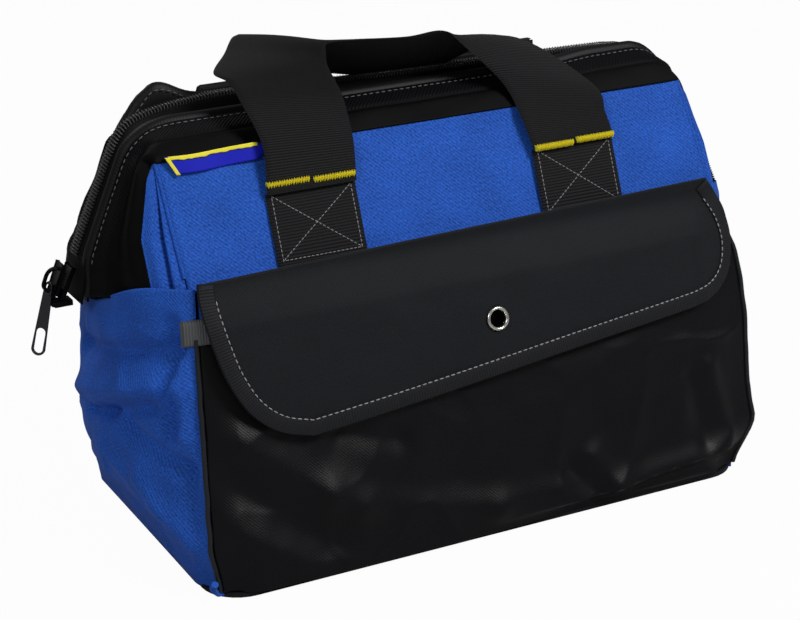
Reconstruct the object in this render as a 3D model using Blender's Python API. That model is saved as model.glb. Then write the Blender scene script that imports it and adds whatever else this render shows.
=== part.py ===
"""Soft tool bag with a wide framed mouth, two webbing handles and a front pocket under a flap.

Metres, +Z up, +X along the bag, the pocket faces -Y. The origin is the middle of the flat underside.
The upper part of the bag is two halves on steel hoops. Each half turns about the rivets at the bag's
ends, and its walls slide down inside the lower walls as it opens.
"""
import bmesh
import bpy
from math import atan2, cos, pi, radians, sin, sqrt, tan
from mathutils import Vector

for leftover in list(bpy.data.objects):
    bpy.data.objects.remove(leftover, do_unlink=True)

# Cloth, webbing and the gaps between pieces
CLOTH = 0.0022
WEBBING = 0.0018
WEBBING_WIDTH = 0.0504
SEAM_GAP = 0.0003
OVERRUN = 0.002

# Lower bag: the base, the walls up to the fold line, and the ends
BASE_HALF_LENGTH = 0.163
FOLD_HALF_LENGTH = 0.151
FOLD_HEIGHT = 0.157
FRONT_BASE_DEPTH = 0.100
BACK_BASE_DEPTH = 0.096
FRONT_FOLD_DEPTH = 0.066
BACK_FOLD_DEPTH = 0.064
WALL_SWELL = 0.004
WALL_INNER_DEPTH = 0.064
WALL_FOOT_RUN = 0.010
BOTTOM_THICKNESS = 0.0025
WALL_FOOT = 0.0035
BOTTOM_CORNER = 0.022
BOARD_THICKNESS = 0.003
BOARD_MARGIN = 0.010
PIPING_RADIUS = 0.0016

# Ends: how far out they stand on the centre line, as heights and reaches up the bag
END_REACH = {
    0.0: 0.163,
    0.012: 0.169,
    0.027: 0.1745,
    0.060: 0.1885,
    0.0985: 0.1895,
    0.125: 0.1880,
    0.138: 0.1885,
    0.150: 0.1900,
    0.176: 0.1900,
}
END_FULLNESS_SHARE = 2.6
GUSSET_NECK_HEIGHT = 0.1375
GUSSET_NECK_HALF_WIDTH = 0.020
GUSSET_TUCK = 0.0031
GUSSET_PEAK_HEIGHT = 0.165
GUSSET_PEAK_DEPTH = 0.043
GUSSET_CORNER_HEIGHT = 0.1495

# Mouth: the panels, the zip's line over the top and down both ends, and the rivets the halves turn on
PANEL_SEAM_HEIGHT = 0.159
PANEL_SEAM_DEPTH = 0.058
PANEL_TOP_HEIGHT = 0.2158
PANEL_TOP_DEPTH = 0.0362
PANEL_FOOT_HEIGHT = 0.153
ZIP_RISE = 0.0157
ZIP_TOP = PANEL_TOP_HEIGHT + ZIP_RISE
ZIP_CORNER_RADIUS = 0.013
LEG_FOOT_X = 0.196
LEG_FOOT_HEIGHT = 0.158
LEG_RUN_X = 0.03216
LEG_RUN_HEIGHT = ZIP_TOP - LEG_FOOT_HEIGHT
PIVOT_HEIGHT = 0.163

# Hoop, the sleeve it runs in, and the zip
ROD_RADIUS = 0.0025
SLEEVE_RADIUS = 0.0041
SLEEVE_BORE = 0.0028
SLEEVE_DEPTH = 0.0125
SLEEVE_DROP = 0.0065
SLEEVE_FOOT = 0.0085
ROD_FOOT = 0.002
LUG_THICKNESS = 0.0016
LUG_RADIUS = 0.0042
LUG_FRONT_X = 0.1848
LUG_BACK_X = 0.1828
PIN_RADIUS = 0.0015
PIN_HOLE_RADIUS = 0.0018
PIN_HEAD_RADIUS = 0.0026
PIN_HEAD = 0.0010
COIL_HALF_WIDTH = 0.0035
COIL_THICKNESS = 0.0026
COIL_PARTING = 0.0007
TAPE_THICKNESS = 0.0010
TAPE_EDGE = 0.0081
COIL_FOOT = 0.0059

# Static ends of the zip, and the tab that holds them and the rivet
TAIL_STOP_FOOT = 0.0213
TAIL_CLEARANCE = 0.0005
MOUTH_OPENING = radians(35)
TAB_FOOT_X = 0.1893
TAB_FOOT_HEIGHT = 0.0025
TAB_OUTER_X = 0.1871
TAB_INNER_X = 0.1859
TAB_HALF_WIDTH = 0.0034
TAB_TOP = 0.1672
TAB_SHOULDER = 0.1520
TAIL_BLOCK_HEIGHT = 0.0027
TAIL_BLOCK_X = 0.2045

# Black ends and blue corner strips of each half
END_CLOTH_DEPTH = 0.0185
END_CLOTH_DROP = 0.0055
END_FOOT_REACH = {0.1435: 0.1850, 0.150: 0.1858, 0.158: 0.1865, 0.166: 0.1862}
STRIP_LOW_HEIGHT = 0.1665
STRIP_LOW_X = 0.1645
STRIP_LOW_DEPTH = 0.043
STRIP_HIGH_DROP = 0.0023
STRIP_HIGH_HEIGHT = PANEL_TOP_HEIGHT - STRIP_HIGH_DROP
STRIP_HIGH_X = 0.157
STRIP_HIGH_DEPTH = 0.030
STRIP_FOOT_HEIGHT = 0.158
BAND_INNER_DROP = 0.0049
BAND_INNER_HEIGHT = ZIP_TOP - BAND_INNER_DROP
BAND_INNER_DEPTH = 0.0177
BAND_OUTER_RISE = 0.0024
BAND_OUTER_HEIGHT = PANEL_TOP_HEIGHT + BAND_OUTER_RISE
BAND_OUTER_DEPTH = 0.0352
BAND_HALF_LENGTH = 0.1490
BAND_END_GAP = 0.0018
STRIP_GAP = 0.0024
THIN_CLOTH = 0.0012
MOUTH_HALF_LENGTH = 0.1488
UPPER_PIPING_FOOT = 0.1625

# Handles: the box-stitched ends of webbing, and the loops above them
PATCH_X = 0.078
PATCH_FOOT_HEIGHT = 0.1578
TACK_DROP = 0.0223
TACK_HEIGHT = PANEL_TOP_HEIGHT - TACK_DROP
BEND_DEPTH = 0.038
BEND_DROP = 0.0010
BEND_HEIGHT = ZIP_TOP - BEND_DROP
BEND_ROLL = 0.0021
LOOP_HEIGHT = 0.070
LEAN_IN = radians(17)
DROOP = radians(42)
BACK_LOOP_TILT_SHARE = 0.45

# Front pocket, flap and eyelet
POCKET_TOP = 0.148
POCKET_CLOTH = 0.0020
POCKET_PILLOW = 0.004
POCKET_SWELL = 0.002
BINDING_HEIGHT = 0.014
BINDING_CLOTH = 0.0012
FLAP_TOP = 0.1605
FLAP_ROOT = 0.1572
FLAP_HALF_WIDTH = 0.1525
FLAP_HEIGHT = 0.084
FLAP_LEFT_CORNER = 0.046
FLAP_RIGHT_CORNER = 0.032
FLAP_FLARE = 0.006
FLAP_RISE_SHARE = 0.13
FLAP_CLEARANCE = 0.0012
FLAP_BIND_WIDTH = 0.0022
EYELET_X = 0.013
EYELET_DROP = 0.045
EYELET_HOLE_RADIUS = 0.0042
EYELET_RADIUS = 0.0068
EYELET_LIP = 0.0008

# Slider, its bail and its pull
SLIDER_LENGTH = 0.0172
SLIDER_REST = -0.0079
SLIDER_HALF_WIDTH = 0.0054
SLIDER_PLATE = 0.0014
SLIDER_CHANNEL = 0.0034
SLIDER_FLANGE = 0.0010
SLIDER_SLOT = 0.0018
SLIDER_POST_LENGTH = 0.0035
SLIDER_POST_HALF_WIDTH = 0.0004
BAIL_HEIGHT = 0.0048
BAIL_WALL = 0.0013
BAIL_HALF_WIDTH = 0.0013
BAIL_LENGTH = 0.0125
PULL_LENGTH = 0.038
PULL_WIDTH = 0.0074
PULL_THICKNESS = 0.0014
PULL_EYE_WIDTH = 0.0034
PULL_EYE_LENGTH = 0.0052
PULL_HEAD = 0.0019
PULL_SLOT_WIDTH = 0.0044
PULL_SLOT_LENGTH = 0.0130
PULL_RIM = 0.0014
PULL_HANG = radians(19.6)

# Label at the seam
LABEL_LEFT_X = 0.1465
LABEL_WIDTH = 0.046
LABEL_HEIGHT = 0.0115
LABEL_CLOTH = 0.0010
LABEL_TOP_DROP = 0.0006
LABEL_TOP_HEIGHT = PANEL_TOP_HEIGHT - LABEL_TOP_DROP

ACROSS = Vector((1, 0, 0))
DEEP = Vector((0, 1, 0))
UP = Vector((0, 0, 1))
LEG_LENGTH = sqrt(LEG_RUN_X ** 2 + LEG_RUN_HEIGHT ** 2)
LEG_SIN = LEG_RUN_X / LEG_LENGTH
LEG_COS = LEG_RUN_HEIGHT / LEG_LENGTH
LEG_TURN = atan2(LEG_COS, LEG_SIN)


def surface(name, color, roughness, metallic=0.0):
    made = bpy.data.materials.new(name)
    made.use_nodes = True
    shader = made.node_tree.nodes["Principled BSDF"]
    shader.inputs["Base Color"].default_value = (*color, 1)
    shader.inputs["Roughness"].default_value = roughness
    shader.inputs["Metallic"].default_value = metallic
    return made


SURFACES = {
    "blue_cloth": ((0.02, 0.09, 0.42), 0.85, 0.0),
    "black_cloth": ((0.012, 0.013, 0.015), 0.88, 0.0),
    "black_webbing": ((0.014, 0.014, 0.016), 0.82, 0.0),
    "grey_tape": ((0.05, 0.05, 0.055), 0.8, 0.0),
    "black_coil": ((0.01, 0.01, 0.011), 0.4, 0.0),
    "dark_metal": ((0.05, 0.05, 0.055), 0.35, 1.0),
    "bright_metal": ((0.7, 0.68, 0.62), 0.3, 1.0),
    "steel": ((0.35, 0.36, 0.38), 0.4, 1.0),
    "grey_board": ((0.08, 0.08, 0.085), 0.7, 0.0),
    "label_cloth": ((0.01, 0.02, 0.4), 0.6, 0.0),
}


def axis_empty(name, place):
    empty = bpy.data.objects.new(name, None)
    empty.location = place
    bpy.context.collection.objects.link(empty)
    return empty


def piece(name, shape, finish, axis=None):
    """Turns a bmesh in world coordinates into a named object, hung on its joint's empty if it moves."""
    mesh = bpy.data.meshes.new(name)
    if axis is not None:
        bmesh.ops.translate(shape, verts=shape.verts, vec=-axis.location)
    shape.to_mesh(mesh)
    shape.free()
    mesh.shade_smooth()
    mesh.set_sharp_from_angle(angle=radians(35))
    made = bpy.data.objects.new(name, mesh)
    bpy.context.collection.objects.link(made)
    made.parent = axis
    color, roughness, metallic = SURFACES[finish]
    mesh.materials.append(surface(name, color, roughness, metallic))
    return made


def closed(shape):
    bmesh.ops.remove_doubles(shape, verts=shape.verts, dist=SEAM_GAP / 10)
    bmesh.ops.recalc_face_normals(shape, faces=shape.faces)
    return shape


def loft(rings, capped=True):
    """Skins a run of rings that have the same count of points, and closes both ends."""
    shape = bmesh.new()
    rows = [[shape.verts.new(point) for point in ring] for ring in rings]
    count = len(rings[0])
    for low, high in zip(rows, rows[1:]):
        for n in range(count):
            m = (n + 1) % count
            shape.faces.new((low[n], low[m], high[m], high[n]))
    if capped:
        shape.faces.new(rows[0])
        shape.faces.new(rows[-1])
    return closed(shape)


def hollow_loft(outers, inners):
    """Skins a tube with a bore: an outer and an inner ring at each station, with open ends."""
    shape = bmesh.new()
    outer = [[shape.verts.new(point) for point in ring] for ring in outers]
    inner = [[shape.verts.new(point) for point in ring] for ring in inners]
    count = len(outers[0])
    for n in range(count):
        m = (n + 1) % count
        for rows in (outer, inner):
            for low, high in zip(rows, rows[1:]):
                shape.faces.new((low[n], low[m], high[m], high[n]))
        for end in (0, -1):
            shape.faces.new((outer[end][n], outer[end][m], inner[end][m], inner[end][n]))
    return closed(shape)


def prism(outline, run):
    """Extrudes a flat outline along a vector."""
    return loft([outline, [point + run for point in outline]])


def block(low, high):
    outline = [
        Vector((low.x, low.y, low.z)),
        Vector((high.x, low.y, low.z)),
        Vector((high.x, high.y, low.z)),
        Vector((low.x, high.y, low.z)),
    ]
    return prism(outline, UP * (high.z - low.z))


def cloth(name, rows, finish, thickness, outward, axis=None):
    """A sheet of cloth from rows of points on its outer face, thickened inwards."""
    shape = bmesh.new()
    grid = [[shape.verts.new(point) for point in row] for row in rows]
    for low, high in zip(grid, grid[1:]):
        for n in range(len(low) - 1):
            shape.faces.new((low[n], low[n + 1], high[n + 1], high[n]))
    bmesh.ops.recalc_face_normals(shape, faces=shape.faces)
    facing = sum((face.normal * face.calc_area() for face in shape.faces), Vector())
    if facing.dot(outward) < 0:
        bmesh.ops.reverse_faces(shape, faces=shape.faces)
    made = piece(name, shape, finish, axis)
    wall = made.modifiers.new("Thickness", "SOLIDIFY")
    wall.thickness = thickness
    wall.offset = -1
    wall.use_even_offset = True
    return made


def cut(target, cutter, operation="DIFFERENCE"):
    cutter.hide_render = True
    cutter.display_type = "WIRE"
    change = target.modifiers.new(operation.title(), "BOOLEAN")
    change.operation = operation
    change.object = cutter
    change.solver = "EXACT"


def shares(count):
    """Even steps from 0 to 1."""
    return [n / count for n in range(count + 1)]


def mix(low, high, share):
    return low + (high - low) * share


def smooth_step(share):
    return share * share * (3 - 2 * share)


def along(table, place):
    """Reads a table of heights and reaches, easing from one to the next."""
    heights = sorted(table)
    if place <= heights[0]:
        return table[heights[0]]
    for low, high in zip(heights, heights[1:]):
        if place <= high:
            return mix(table[low], table[high], smooth_step((place - low) / (high - low)))
    return table[heights[-1]]


# Lines that the pieces share
def half_length(height):
    return mix(BASE_HALF_LENGTH, FOLD_HALF_LENGTH, height / FOLD_HEIGHT)


def corner_depth(side, height):
    """How far the corner seam lies from the middle, at the front (-1) or the back (1)."""
    share = height / FOLD_HEIGHT
    if side < 0:
        return mix(FRONT_BASE_DEPTH, FRONT_FOLD_DEPTH, share)
    return mix(BACK_BASE_DEPTH, BACK_FOLD_DEPTH, share) + WALL_SWELL * sin(pi * share)


def gusset_depth(side, height):
    """How far back or forward an end reaches: to the inner face of the wall that it is sewn to."""
    depth = corner_depth(side, height) - CLOTH - SEAM_GAP
    if side < 0:
        depth -= POCKET_CLOTH + GUSSET_TUCK
    return depth


def end_reach(y, height):
    """How far out the lower end stands, fullest on the centre line and drawn in to the corner seams."""
    seam = half_length(height)
    side = -1 if y < 0 else 1
    share = min(abs(y) / gusset_depth(side, height), 1)
    return seam + (along(END_REACH, height) - seam) * (1 - share ** END_FULLNESS_SHARE)


def panel_depth(height):
    """The outer face of the upper panels."""
    share = (height - PANEL_SEAM_HEIGHT) / (PANEL_TOP_HEIGHT - PANEL_SEAM_HEIGHT)
    return mix(PANEL_SEAM_DEPTH, PANEL_TOP_DEPTH, share)


def leg_x(height):
    """The zip's line down an end, as a distance from the middle."""
    return LEG_FOOT_X - (height - LEG_FOOT_HEIGHT) * LEG_RUN_X / LEG_RUN_HEIGHT


def leg_point(end, rise, y, proud):
    """A point beside the zip's leg: its rise along the leg, its place across, how proud it stands."""
    x = LEG_FOOT_X - rise * LEG_SIN + proud * LEG_COS
    z = LEG_FOOT_HEIGHT + rise * LEG_COS + proud * LEG_SIN
    return Vector((end * x, y, z))


def hoop_path(foot, drop, arc_steps=5, top_steps=1):
    """Stations down the zip's line from one foot to the other, with the outward direction at each."""
    corner_x = leg_x(ZIP_TOP) - ZIP_CORNER_RADIUS * tan(LEG_TURN / 2)
    centre_height = ZIP_TOP - ZIP_CORNER_RADIUS
    radius = ZIP_CORNER_RADIUS - drop
    left = [(leg_point(-1, foot, 0, -drop), Vector((-LEG_COS, 0, LEG_SIN)))]
    for share in shares(arc_steps):
        turn = LEG_TURN * (1 - share)
        out = Vector((-sin(turn), 0, cos(turn)))
        left.append((Vector((-corner_x, 0, centre_height)) + out * radius, out))
    top = []
    for share in shares(top_steps)[1:-1]:
        top.append((Vector((corner_x * (2 * share - 1), 0, ZIP_TOP - drop)), UP))
    right = [(Vector((-p.x, 0, p.z)), Vector((-o.x, 0, o.z))) for p, o in reversed(left)]
    return left + top + right


def bar_along(path, depth_low, depth_high, thickness):
    """A flat bar that follows a hoop path, between two depths."""
    rings = []
    for point, out in path:
        half = out * (thickness / 2)
        near = point + DEEP * depth_low
        far = point + DEEP * depth_high
        rings.append([near - half, far - half, far + half, near + half])
    return loft(rings)


def round_ring(centre, out, radius, sides):
    return [
        centre + out * (radius * cos(2 * pi * n / sides)) + DEEP * (radius * sin(2 * pi * n / sides))
        for n in range(sides)
    ]


# Joint axes
MOUTH_AXES = {
    -1: axis_empty("front_mouth_axis", Vector((0, 0, PIVOT_HEIGHT))),
    1: axis_empty("back_mouth_axis", Vector((0, 0, PIVOT_HEIGHT))),
}
TACK_DEPTH = panel_depth(TACK_HEIGHT) + 4 * SEAM_GAP + WEBBING + WEBBING / 2
HANDLE_AXES = {
    -1: axis_empty("front_handle_axis", Vector((0, -TACK_DEPTH, TACK_HEIGHT))),
    1: axis_empty("back_handle_axis", Vector((0, BEND_DEPTH + BEND_ROLL, BEND_HEIGHT))),
}
FLAP_AXIS_DEPTH = FRONT_FOLD_DEPTH
FLAP_AXIS_HEIGHT = (FLAP_TOP + FLAP_ROOT) / 2
FLAP_AXIS = axis_empty("flap_axis", Vector((0, -FLAP_AXIS_DEPTH, FLAP_AXIS_HEIGHT)))
SLIDER_AXIS = axis_empty("slider_axis", leg_point(-1, SLIDER_REST, 0, 0))
BAIL_PROUD = SLIDER_CHANNEL / 2 + SLIDER_PLATE + BAIL_HEIGHT - BAIL_WALL
PULL_RISE = SLIDER_REST - BAIL_LENGTH / 2 + BAIL_WALL + PULL_THICKNESS
PULL_AXIS = axis_empty("pull_axis", leg_point(-1, PULL_RISE, 0, BAIL_PROUD - PULL_THICKNESS))


def bottom():
    """The flat bottom panel, and the stiffening board that lies on it."""
    for name, low, high, margin, finish in (
        ("bottom_panel", 0, BOTTOM_THICKNESS, 0, "black_cloth"),
        ("base_board", BOTTOM_THICKNESS + SEAM_GAP, BOTTOM_THICKNESS + SEAM_GAP + BOARD_THICKNESS,
         BOARD_MARGIN, "grey_board"),
    ):
        front = FRONT_BASE_DEPTH + SEAM_GAP
        if margin:
            front = WALL_INNER_DEPTH + WALL_FOOT_RUN - CLOTH
        half_x = BASE_HALF_LENGTH - margin
        low_y = -front + margin / 2
        high_y = BACK_BASE_DEPTH - margin
        radius = BOTTOM_CORNER - margin
        outline = []
        for corner, (sign_x, y) in enumerate(((1, high_y), (-1, high_y), (-1, low_y), (1, low_y))):
            sign_y = 1 if y > 0 else -1
            centre = Vector((sign_x * (half_x - radius), y - sign_y * radius, low))
            for share in shares(4):
                turn = (corner + share) * pi / 2
                outline.append(centre + Vector((cos(turn), sin(turn), 0)) * radius)
        piece(name, prism(outline, UP * (high - low)), finish)


def wall_depth(side, x, height):
    """The outer face of a lower wall. Behind the pocket it hangs back from the corner seams."""
    if side > 0:
        return corner_depth(side, height)
    share = height / FOLD_HEIGHT
    behind = WALL_INNER_DEPTH + WALL_FOOT_RUN * (1 - share) ** 2
    edge = corner_depth(side, height) - POCKET_CLOTH - 2 * SEAM_GAP
    return mix(behind, edge, (abs(x) / half_length(height)) ** 6)


def lower_walls():
    """The front wall behind the pocket, and the back wall."""
    for side, name in ((-1, "front_wall"), (1, "back_wall")):
        rows = []
        for rise in shares(9):
            height = mix(WALL_FOOT, FOLD_HEIGHT, rise)
            row = []
            for share in shares(16):
                turn = sin((share - 0.5) * pi)
                x = turn * (half_length(height) - (SEAM_GAP if side > 0 else CLOTH))
                row.append(Vector((x, side * wall_depth(side, x, height), height)))
            rows.append(row)
        cloth(name, rows, "blue_cloth", CLOTH, DEEP * side)


def gusset_top(y):
    """The upper edge of an end: a neck under the zip's foot, and a peak beside each corner."""
    place = abs(y)
    if place < GUSSET_NECK_HALF_WIDTH:
        return GUSSET_NECK_HEIGHT
    if place < GUSSET_PEAK_DEPTH:
        share = (place - GUSSET_NECK_HALF_WIDTH) / (GUSSET_PEAK_DEPTH - GUSSET_NECK_HALF_WIDTH)
        return mix(GUSSET_NECK_HEIGHT, GUSSET_PEAK_HEIGHT, share)
    corner = gusset_depth(-1 if y < 0 else 1, GUSSET_CORNER_HEIGHT)
    share = min((place - GUSSET_PEAK_DEPTH) / (corner - GUSSET_PEAK_DEPTH), 1)
    return mix(GUSSET_PEAK_HEIGHT, GUSSET_CORNER_HEIGHT, share)


def gussets():
    """The blue ends, which swell out below the zip's feet."""
    for end, name in ((-1, "left_gusset"), (1, "right_gusset")):
        columns = []
        for share in shares(18):
            place = 2 * share - 1
            side = -1 if place < 0 else 1
            column = []
            for rise in shares(13):
                height = WALL_FOOT
                for _ in range(3):
                    depth = gusset_depth(side, height)
                    height = mix(WALL_FOOT, gusset_top(place * depth), rise)
                y = place * gusset_depth(side, height)
                column.append(Vector((end * end_reach(y, height), y, height)))
            columns.append(column)
        cloth(name, columns, "blue_cloth", CLOTH, ACROSS * end)


def pocket_depth(x, height):
    """The outer face of the pocket, with a little fullness in its middle."""
    across = 1 - (abs(x) / half_length(height)) ** 6
    swell = POCKET_SWELL * sin(pi * height / POCKET_TOP)
    return corner_depth(-1, height) + (POCKET_PILLOW + swell) * across


def pocket():
    """The black pocket sheet, and the tape that binds its upper edge."""
    spans = (
        ("front_pocket", WALL_FOOT, POCKET_TOP, 0, POCKET_CLOTH, 9, "black_cloth"),
        ("pocket_binding", POCKET_TOP - BINDING_HEIGHT, POCKET_TOP, BINDING_CLOTH + SEAM_GAP,
         BINDING_CLOTH, 2, "grey_tape"),
    )
    for name, low, high, proud, thickness, steps, finish in spans:
        rows = []
        for rise in shares(steps):
            height = mix(low, high, rise)
            row = []
            for share in shares(18):
                x = sin((share - 0.5) * pi) * (half_length(height) - SEAM_GAP)
                row.append(Vector((x, -pocket_depth(x, height) - proud, height)))
            rows.append(row)
        cloth(name, rows, finish, thickness, -DEEP)


def lower_piping():
    """The round cord in each lower corner seam."""
    for side, depth_name in ((-1, "front"), (1, "back")):
        for end, end_name in ((-1, "left"), (1, "right")):
            rings = []
            for rise in shares(8):
                height = mix(WALL_FOOT, FOLD_HEIGHT, rise)
                out = PIPING_RADIUS
                x = end * (half_length(height) + out)
                y = side * (corner_depth(side, height) - out / 3)
                ring = []
                for n in range(8):
                    turn = 2 * pi * n / 8
                    ring.append(Vector((x + out * cos(turn), y + out * sin(turn), height)))
                rings.append(ring)
            piece(f"{depth_name}_{end_name}_lower_piping", loft(rings), "blue_cloth")


def end_tabs():
    """At each end: the tab sewn to the gusset, the rivet through it, and the zip's static tail."""
    for end, name in ((-1, "left"), (1, "right")):
        seat = GUSSET_NECK_HEIGHT + SEAM_GAP
        hole_low = PIVOT_HEIGHT - PIN_HOLE_RADIUS
        outline = [
            Vector((end * TAB_FOOT_X, -TAB_HALF_WIDTH, seat)),
            Vector((end * TAB_FOOT_X, -TAB_HALF_WIDTH, seat + TAB_FOOT_HEIGHT)),
            Vector((end * TAB_OUTER_X, -TAB_HALF_WIDTH, TAB_SHOULDER)),
            Vector((end * TAB_OUTER_X, -TAB_HALF_WIDTH, TAB_TOP)),
            Vector((end * TAB_INNER_X, -TAB_HALF_WIDTH, TAB_TOP)),
            Vector((end * TAB_INNER_X, -TAB_HALF_WIDTH, seat)),
        ]
        tab = piece(f"{name}_end_tab", prism(outline, DEEP * (2 * TAB_HALF_WIDTH)), "black_webbing")
        hole = round_bar(
            Vector((end * (TAB_OUTER_X + OVERRUN), 0, PIVOT_HEIGHT)),
            Vector((end * (TAB_INNER_X - OVERRUN / 2), 0, PIVOT_HEIGHT)),
            [(0, PIN_HOLE_RADIUS), (1, PIN_HOLE_RADIUS)],
            12,
        )
        cut(tab, piece(f"{name}_tab_hole", hole, "steel"))
        outer = Vector((end * (TAB_OUTER_X + SEAM_GAP + PIN_HEAD), 0, PIVOT_HEIGHT))
        inner_x = LUG_BACK_X - LUG_THICKNESS - SEAM_GAP
        inner = Vector((end * (inner_x - PIN_HEAD), 0, PIVOT_HEIGHT))
        length = (outer - inner).length
        head = PIN_HEAD / length
        pin = round_bar(outer, inner, [
            (0, PIN_HEAD_RADIUS),
            (head, PIN_HEAD_RADIUS),
            (head, PIN_RADIUS),
            (1 - head, PIN_RADIUS),
            (1 - head, PIN_HEAD_RADIUS),
            (1, PIN_HEAD_RADIUS),
        ], 12)
        piece(f"{name}_frame_pin", pin, "steel")
        zip_tail(end, f"{name}_zip_tail", seat)


def round_bar(start, finish, stations, sides):
    """A bar turned about an axis along X, from shares of its length and radii."""
    rings = []
    for share, radius in stations:
        centre = start.lerp(finish, share)
        rings.append([
            centre + Vector((0, radius * cos(2 * pi * n / sides), radius * sin(2 * pi * n / sides)))
            for n in range(sides)
        ])
    return loft(rings)


def zip_tail(end, name, seat):
    """Both static ends of the zip, joined by the block that is sewn to the tab."""
    low = seat
    high = seat + TAIL_BLOCK_HEIGHT
    half = COIL_HALF_WIDTH
    outline = [
        Vector((end * (TAB_FOOT_X + SEAM_GAP), -half, low)),
        Vector((end * TAIL_BLOCK_X, -half, low)),
        Vector((end * TAIL_BLOCK_X, -half, high)),
        Vector((end * (TAB_FOOT_X + SEAM_GAP), -half, high)),
    ]
    tail = piece(name, prism(outline, DEEP * (2 * half)), "black_coil")
    for side in (-1, 1):
        section = (
            (COIL_PARTING, -COIL_THICKNESS / 2),
            (COIL_HALF_WIDTH, -COIL_THICKNESS / 2),
            (COIL_HALF_WIDTH, -TAPE_THICKNESS / 2),
            (TAPE_EDGE, -TAPE_THICKNESS / 2),
            (TAPE_EDGE, TAPE_THICKNESS / 2),
            (COIL_HALF_WIDTH, TAPE_THICKNESS / 2),
            (COIL_HALF_WIDTH, COIL_THICKNESS / 2),
            (COIL_PARTING, COIL_THICKNESS / 2),
        )
        foot = [leg_point(end, -TAIL_STOP_FOOT, side * depth, proud) for depth, proud in section]
        head = []
        for depth, proud in section:
            top = PIVOT_HEIGHT - TAIL_CLEARANCE - depth * tan(MOUTH_OPENING)
            rise = (top - LEG_FOOT_HEIGHT - proud * LEG_SIN) / LEG_COS
            head.append(leg_point(end, rise, side * depth, proud))
        rings = [foot, head]
        half_name = "front" if side < 0 else "back"
        cut(tail, piece(f"{name}_{half_name}_strip", loft(rings), "black_coil"), "UNION")


def hoops(side, name, axis):
    """The steel hoop with its lugs, the sleeve round it, and this half of the zip."""
    path = hoop_path(SLEEVE_FOOT, SLEEVE_DROP)
    deep = DEEP * (side * SLEEVE_DEPTH)
    outers = [round_ring(p + deep, out, SLEEVE_RADIUS, 10) for p, out in path]
    inners = [round_ring(p + deep, out, SLEEVE_BORE, 10) for p, out in path]
    piece(f"{name}_sleeve", hollow_loft(outers, inners), "black_cloth", axis)

    rod_path = hoop_path(ROD_FOOT, SLEEVE_DROP)
    rod = piece(
        f"{name}_hoop",
        loft([round_ring(p + deep, out, ROD_RADIUS, 8) for p, out in rod_path]),
        "steel",
        axis,
    )
    lug_x = LUG_FRONT_X if side < 0 else LUG_BACK_X
    for end, end_name in ((-1, "left"), (1, "right")):
        rod_end = leg_point(end, ROD_FOOT, side * SLEEVE_DEPTH, -SLEEVE_DROP)
        lug = lug_plate(rod_end, end, lug_x)
        cut(rod, piece(f"{name}_{end_name}_lug", lug, "steel", axis), "UNION")
        lug_end = Vector((end * (lug_x - LUG_THICKNESS / 2), rod_end.y, rod_end.z))
        bend = round_bar(rod_end, lug_end, [(0, ROD_RADIUS), (1, ROD_RADIUS)], 10)
        cut(rod, piece(f"{name}_{end_name}_bend", bend, "steel", axis), "UNION")
        hole = round_bar(
            Vector((end * (lug_x + OVERRUN), 0, PIVOT_HEIGHT)),
            Vector((end * (lug_x - LUG_THICKNESS - OVERRUN), 0, PIVOT_HEIGHT)),
            [(0, PIN_HOLE_RADIUS), (1, PIN_HOLE_RADIUS)],
            12,
        )
        cut(rod, piece(f"{name}_{end_name}_lug_hole", hole, "steel", axis))

    zip_path = hoop_path(COIL_FOOT, 0)
    depths = sorted((side * (COIL_HALF_WIDTH + SEAM_GAP), side * TAPE_EDGE))
    piece(f"{name}_zip_tape", bar_along(zip_path, *depths, TAPE_THICKNESS), "black_webbing", axis)
    depths = sorted((side * COIL_PARTING, side * COIL_HALF_WIDTH))
    piece(f"{name}_zip_coil", bar_along(zip_path, *depths, COIL_THICKNESS), "black_coil", axis)


def lug_plate(rod_end, end, lug_x):
    """A flat eye from the hoop's foot to the rivet: a round head with straight flanks."""
    rod_foot = Vector((0, rod_end.y, rod_end.z))
    eye = Vector((0, 0, PIVOT_HEIGHT))
    reach = eye - rod_foot
    turn = atan2(reach.z, reach.y)
    outline = []
    for share in shares(8):
        angle = turn - pi / 2 + pi * share
        outline.append(eye + Vector((0, cos(angle), sin(angle))) * LUG_RADIUS)
    for share in shares(4):
        angle = turn + pi / 2 + pi * share
        outline.append(rod_foot + Vector((0, cos(angle), sin(angle))) * ROD_RADIUS)
    outline = [point + ACROSS * (end * lug_x) for point in outline]
    return prism(outline, ACROSS * (-end * LUG_THICKNESS))


def strip_edge(end, side, height):
    """The seam between a blue corner strip and the black end."""
    share = (height - STRIP_LOW_HEIGHT) / (STRIP_HIGH_HEIGHT - STRIP_LOW_HEIGHT)
    x = mix(STRIP_LOW_X, STRIP_HIGH_X, share)
    depth = mix(STRIP_LOW_DEPTH, STRIP_HIGH_DEPTH, share)
    return Vector((end * x, side * depth, height))


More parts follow.
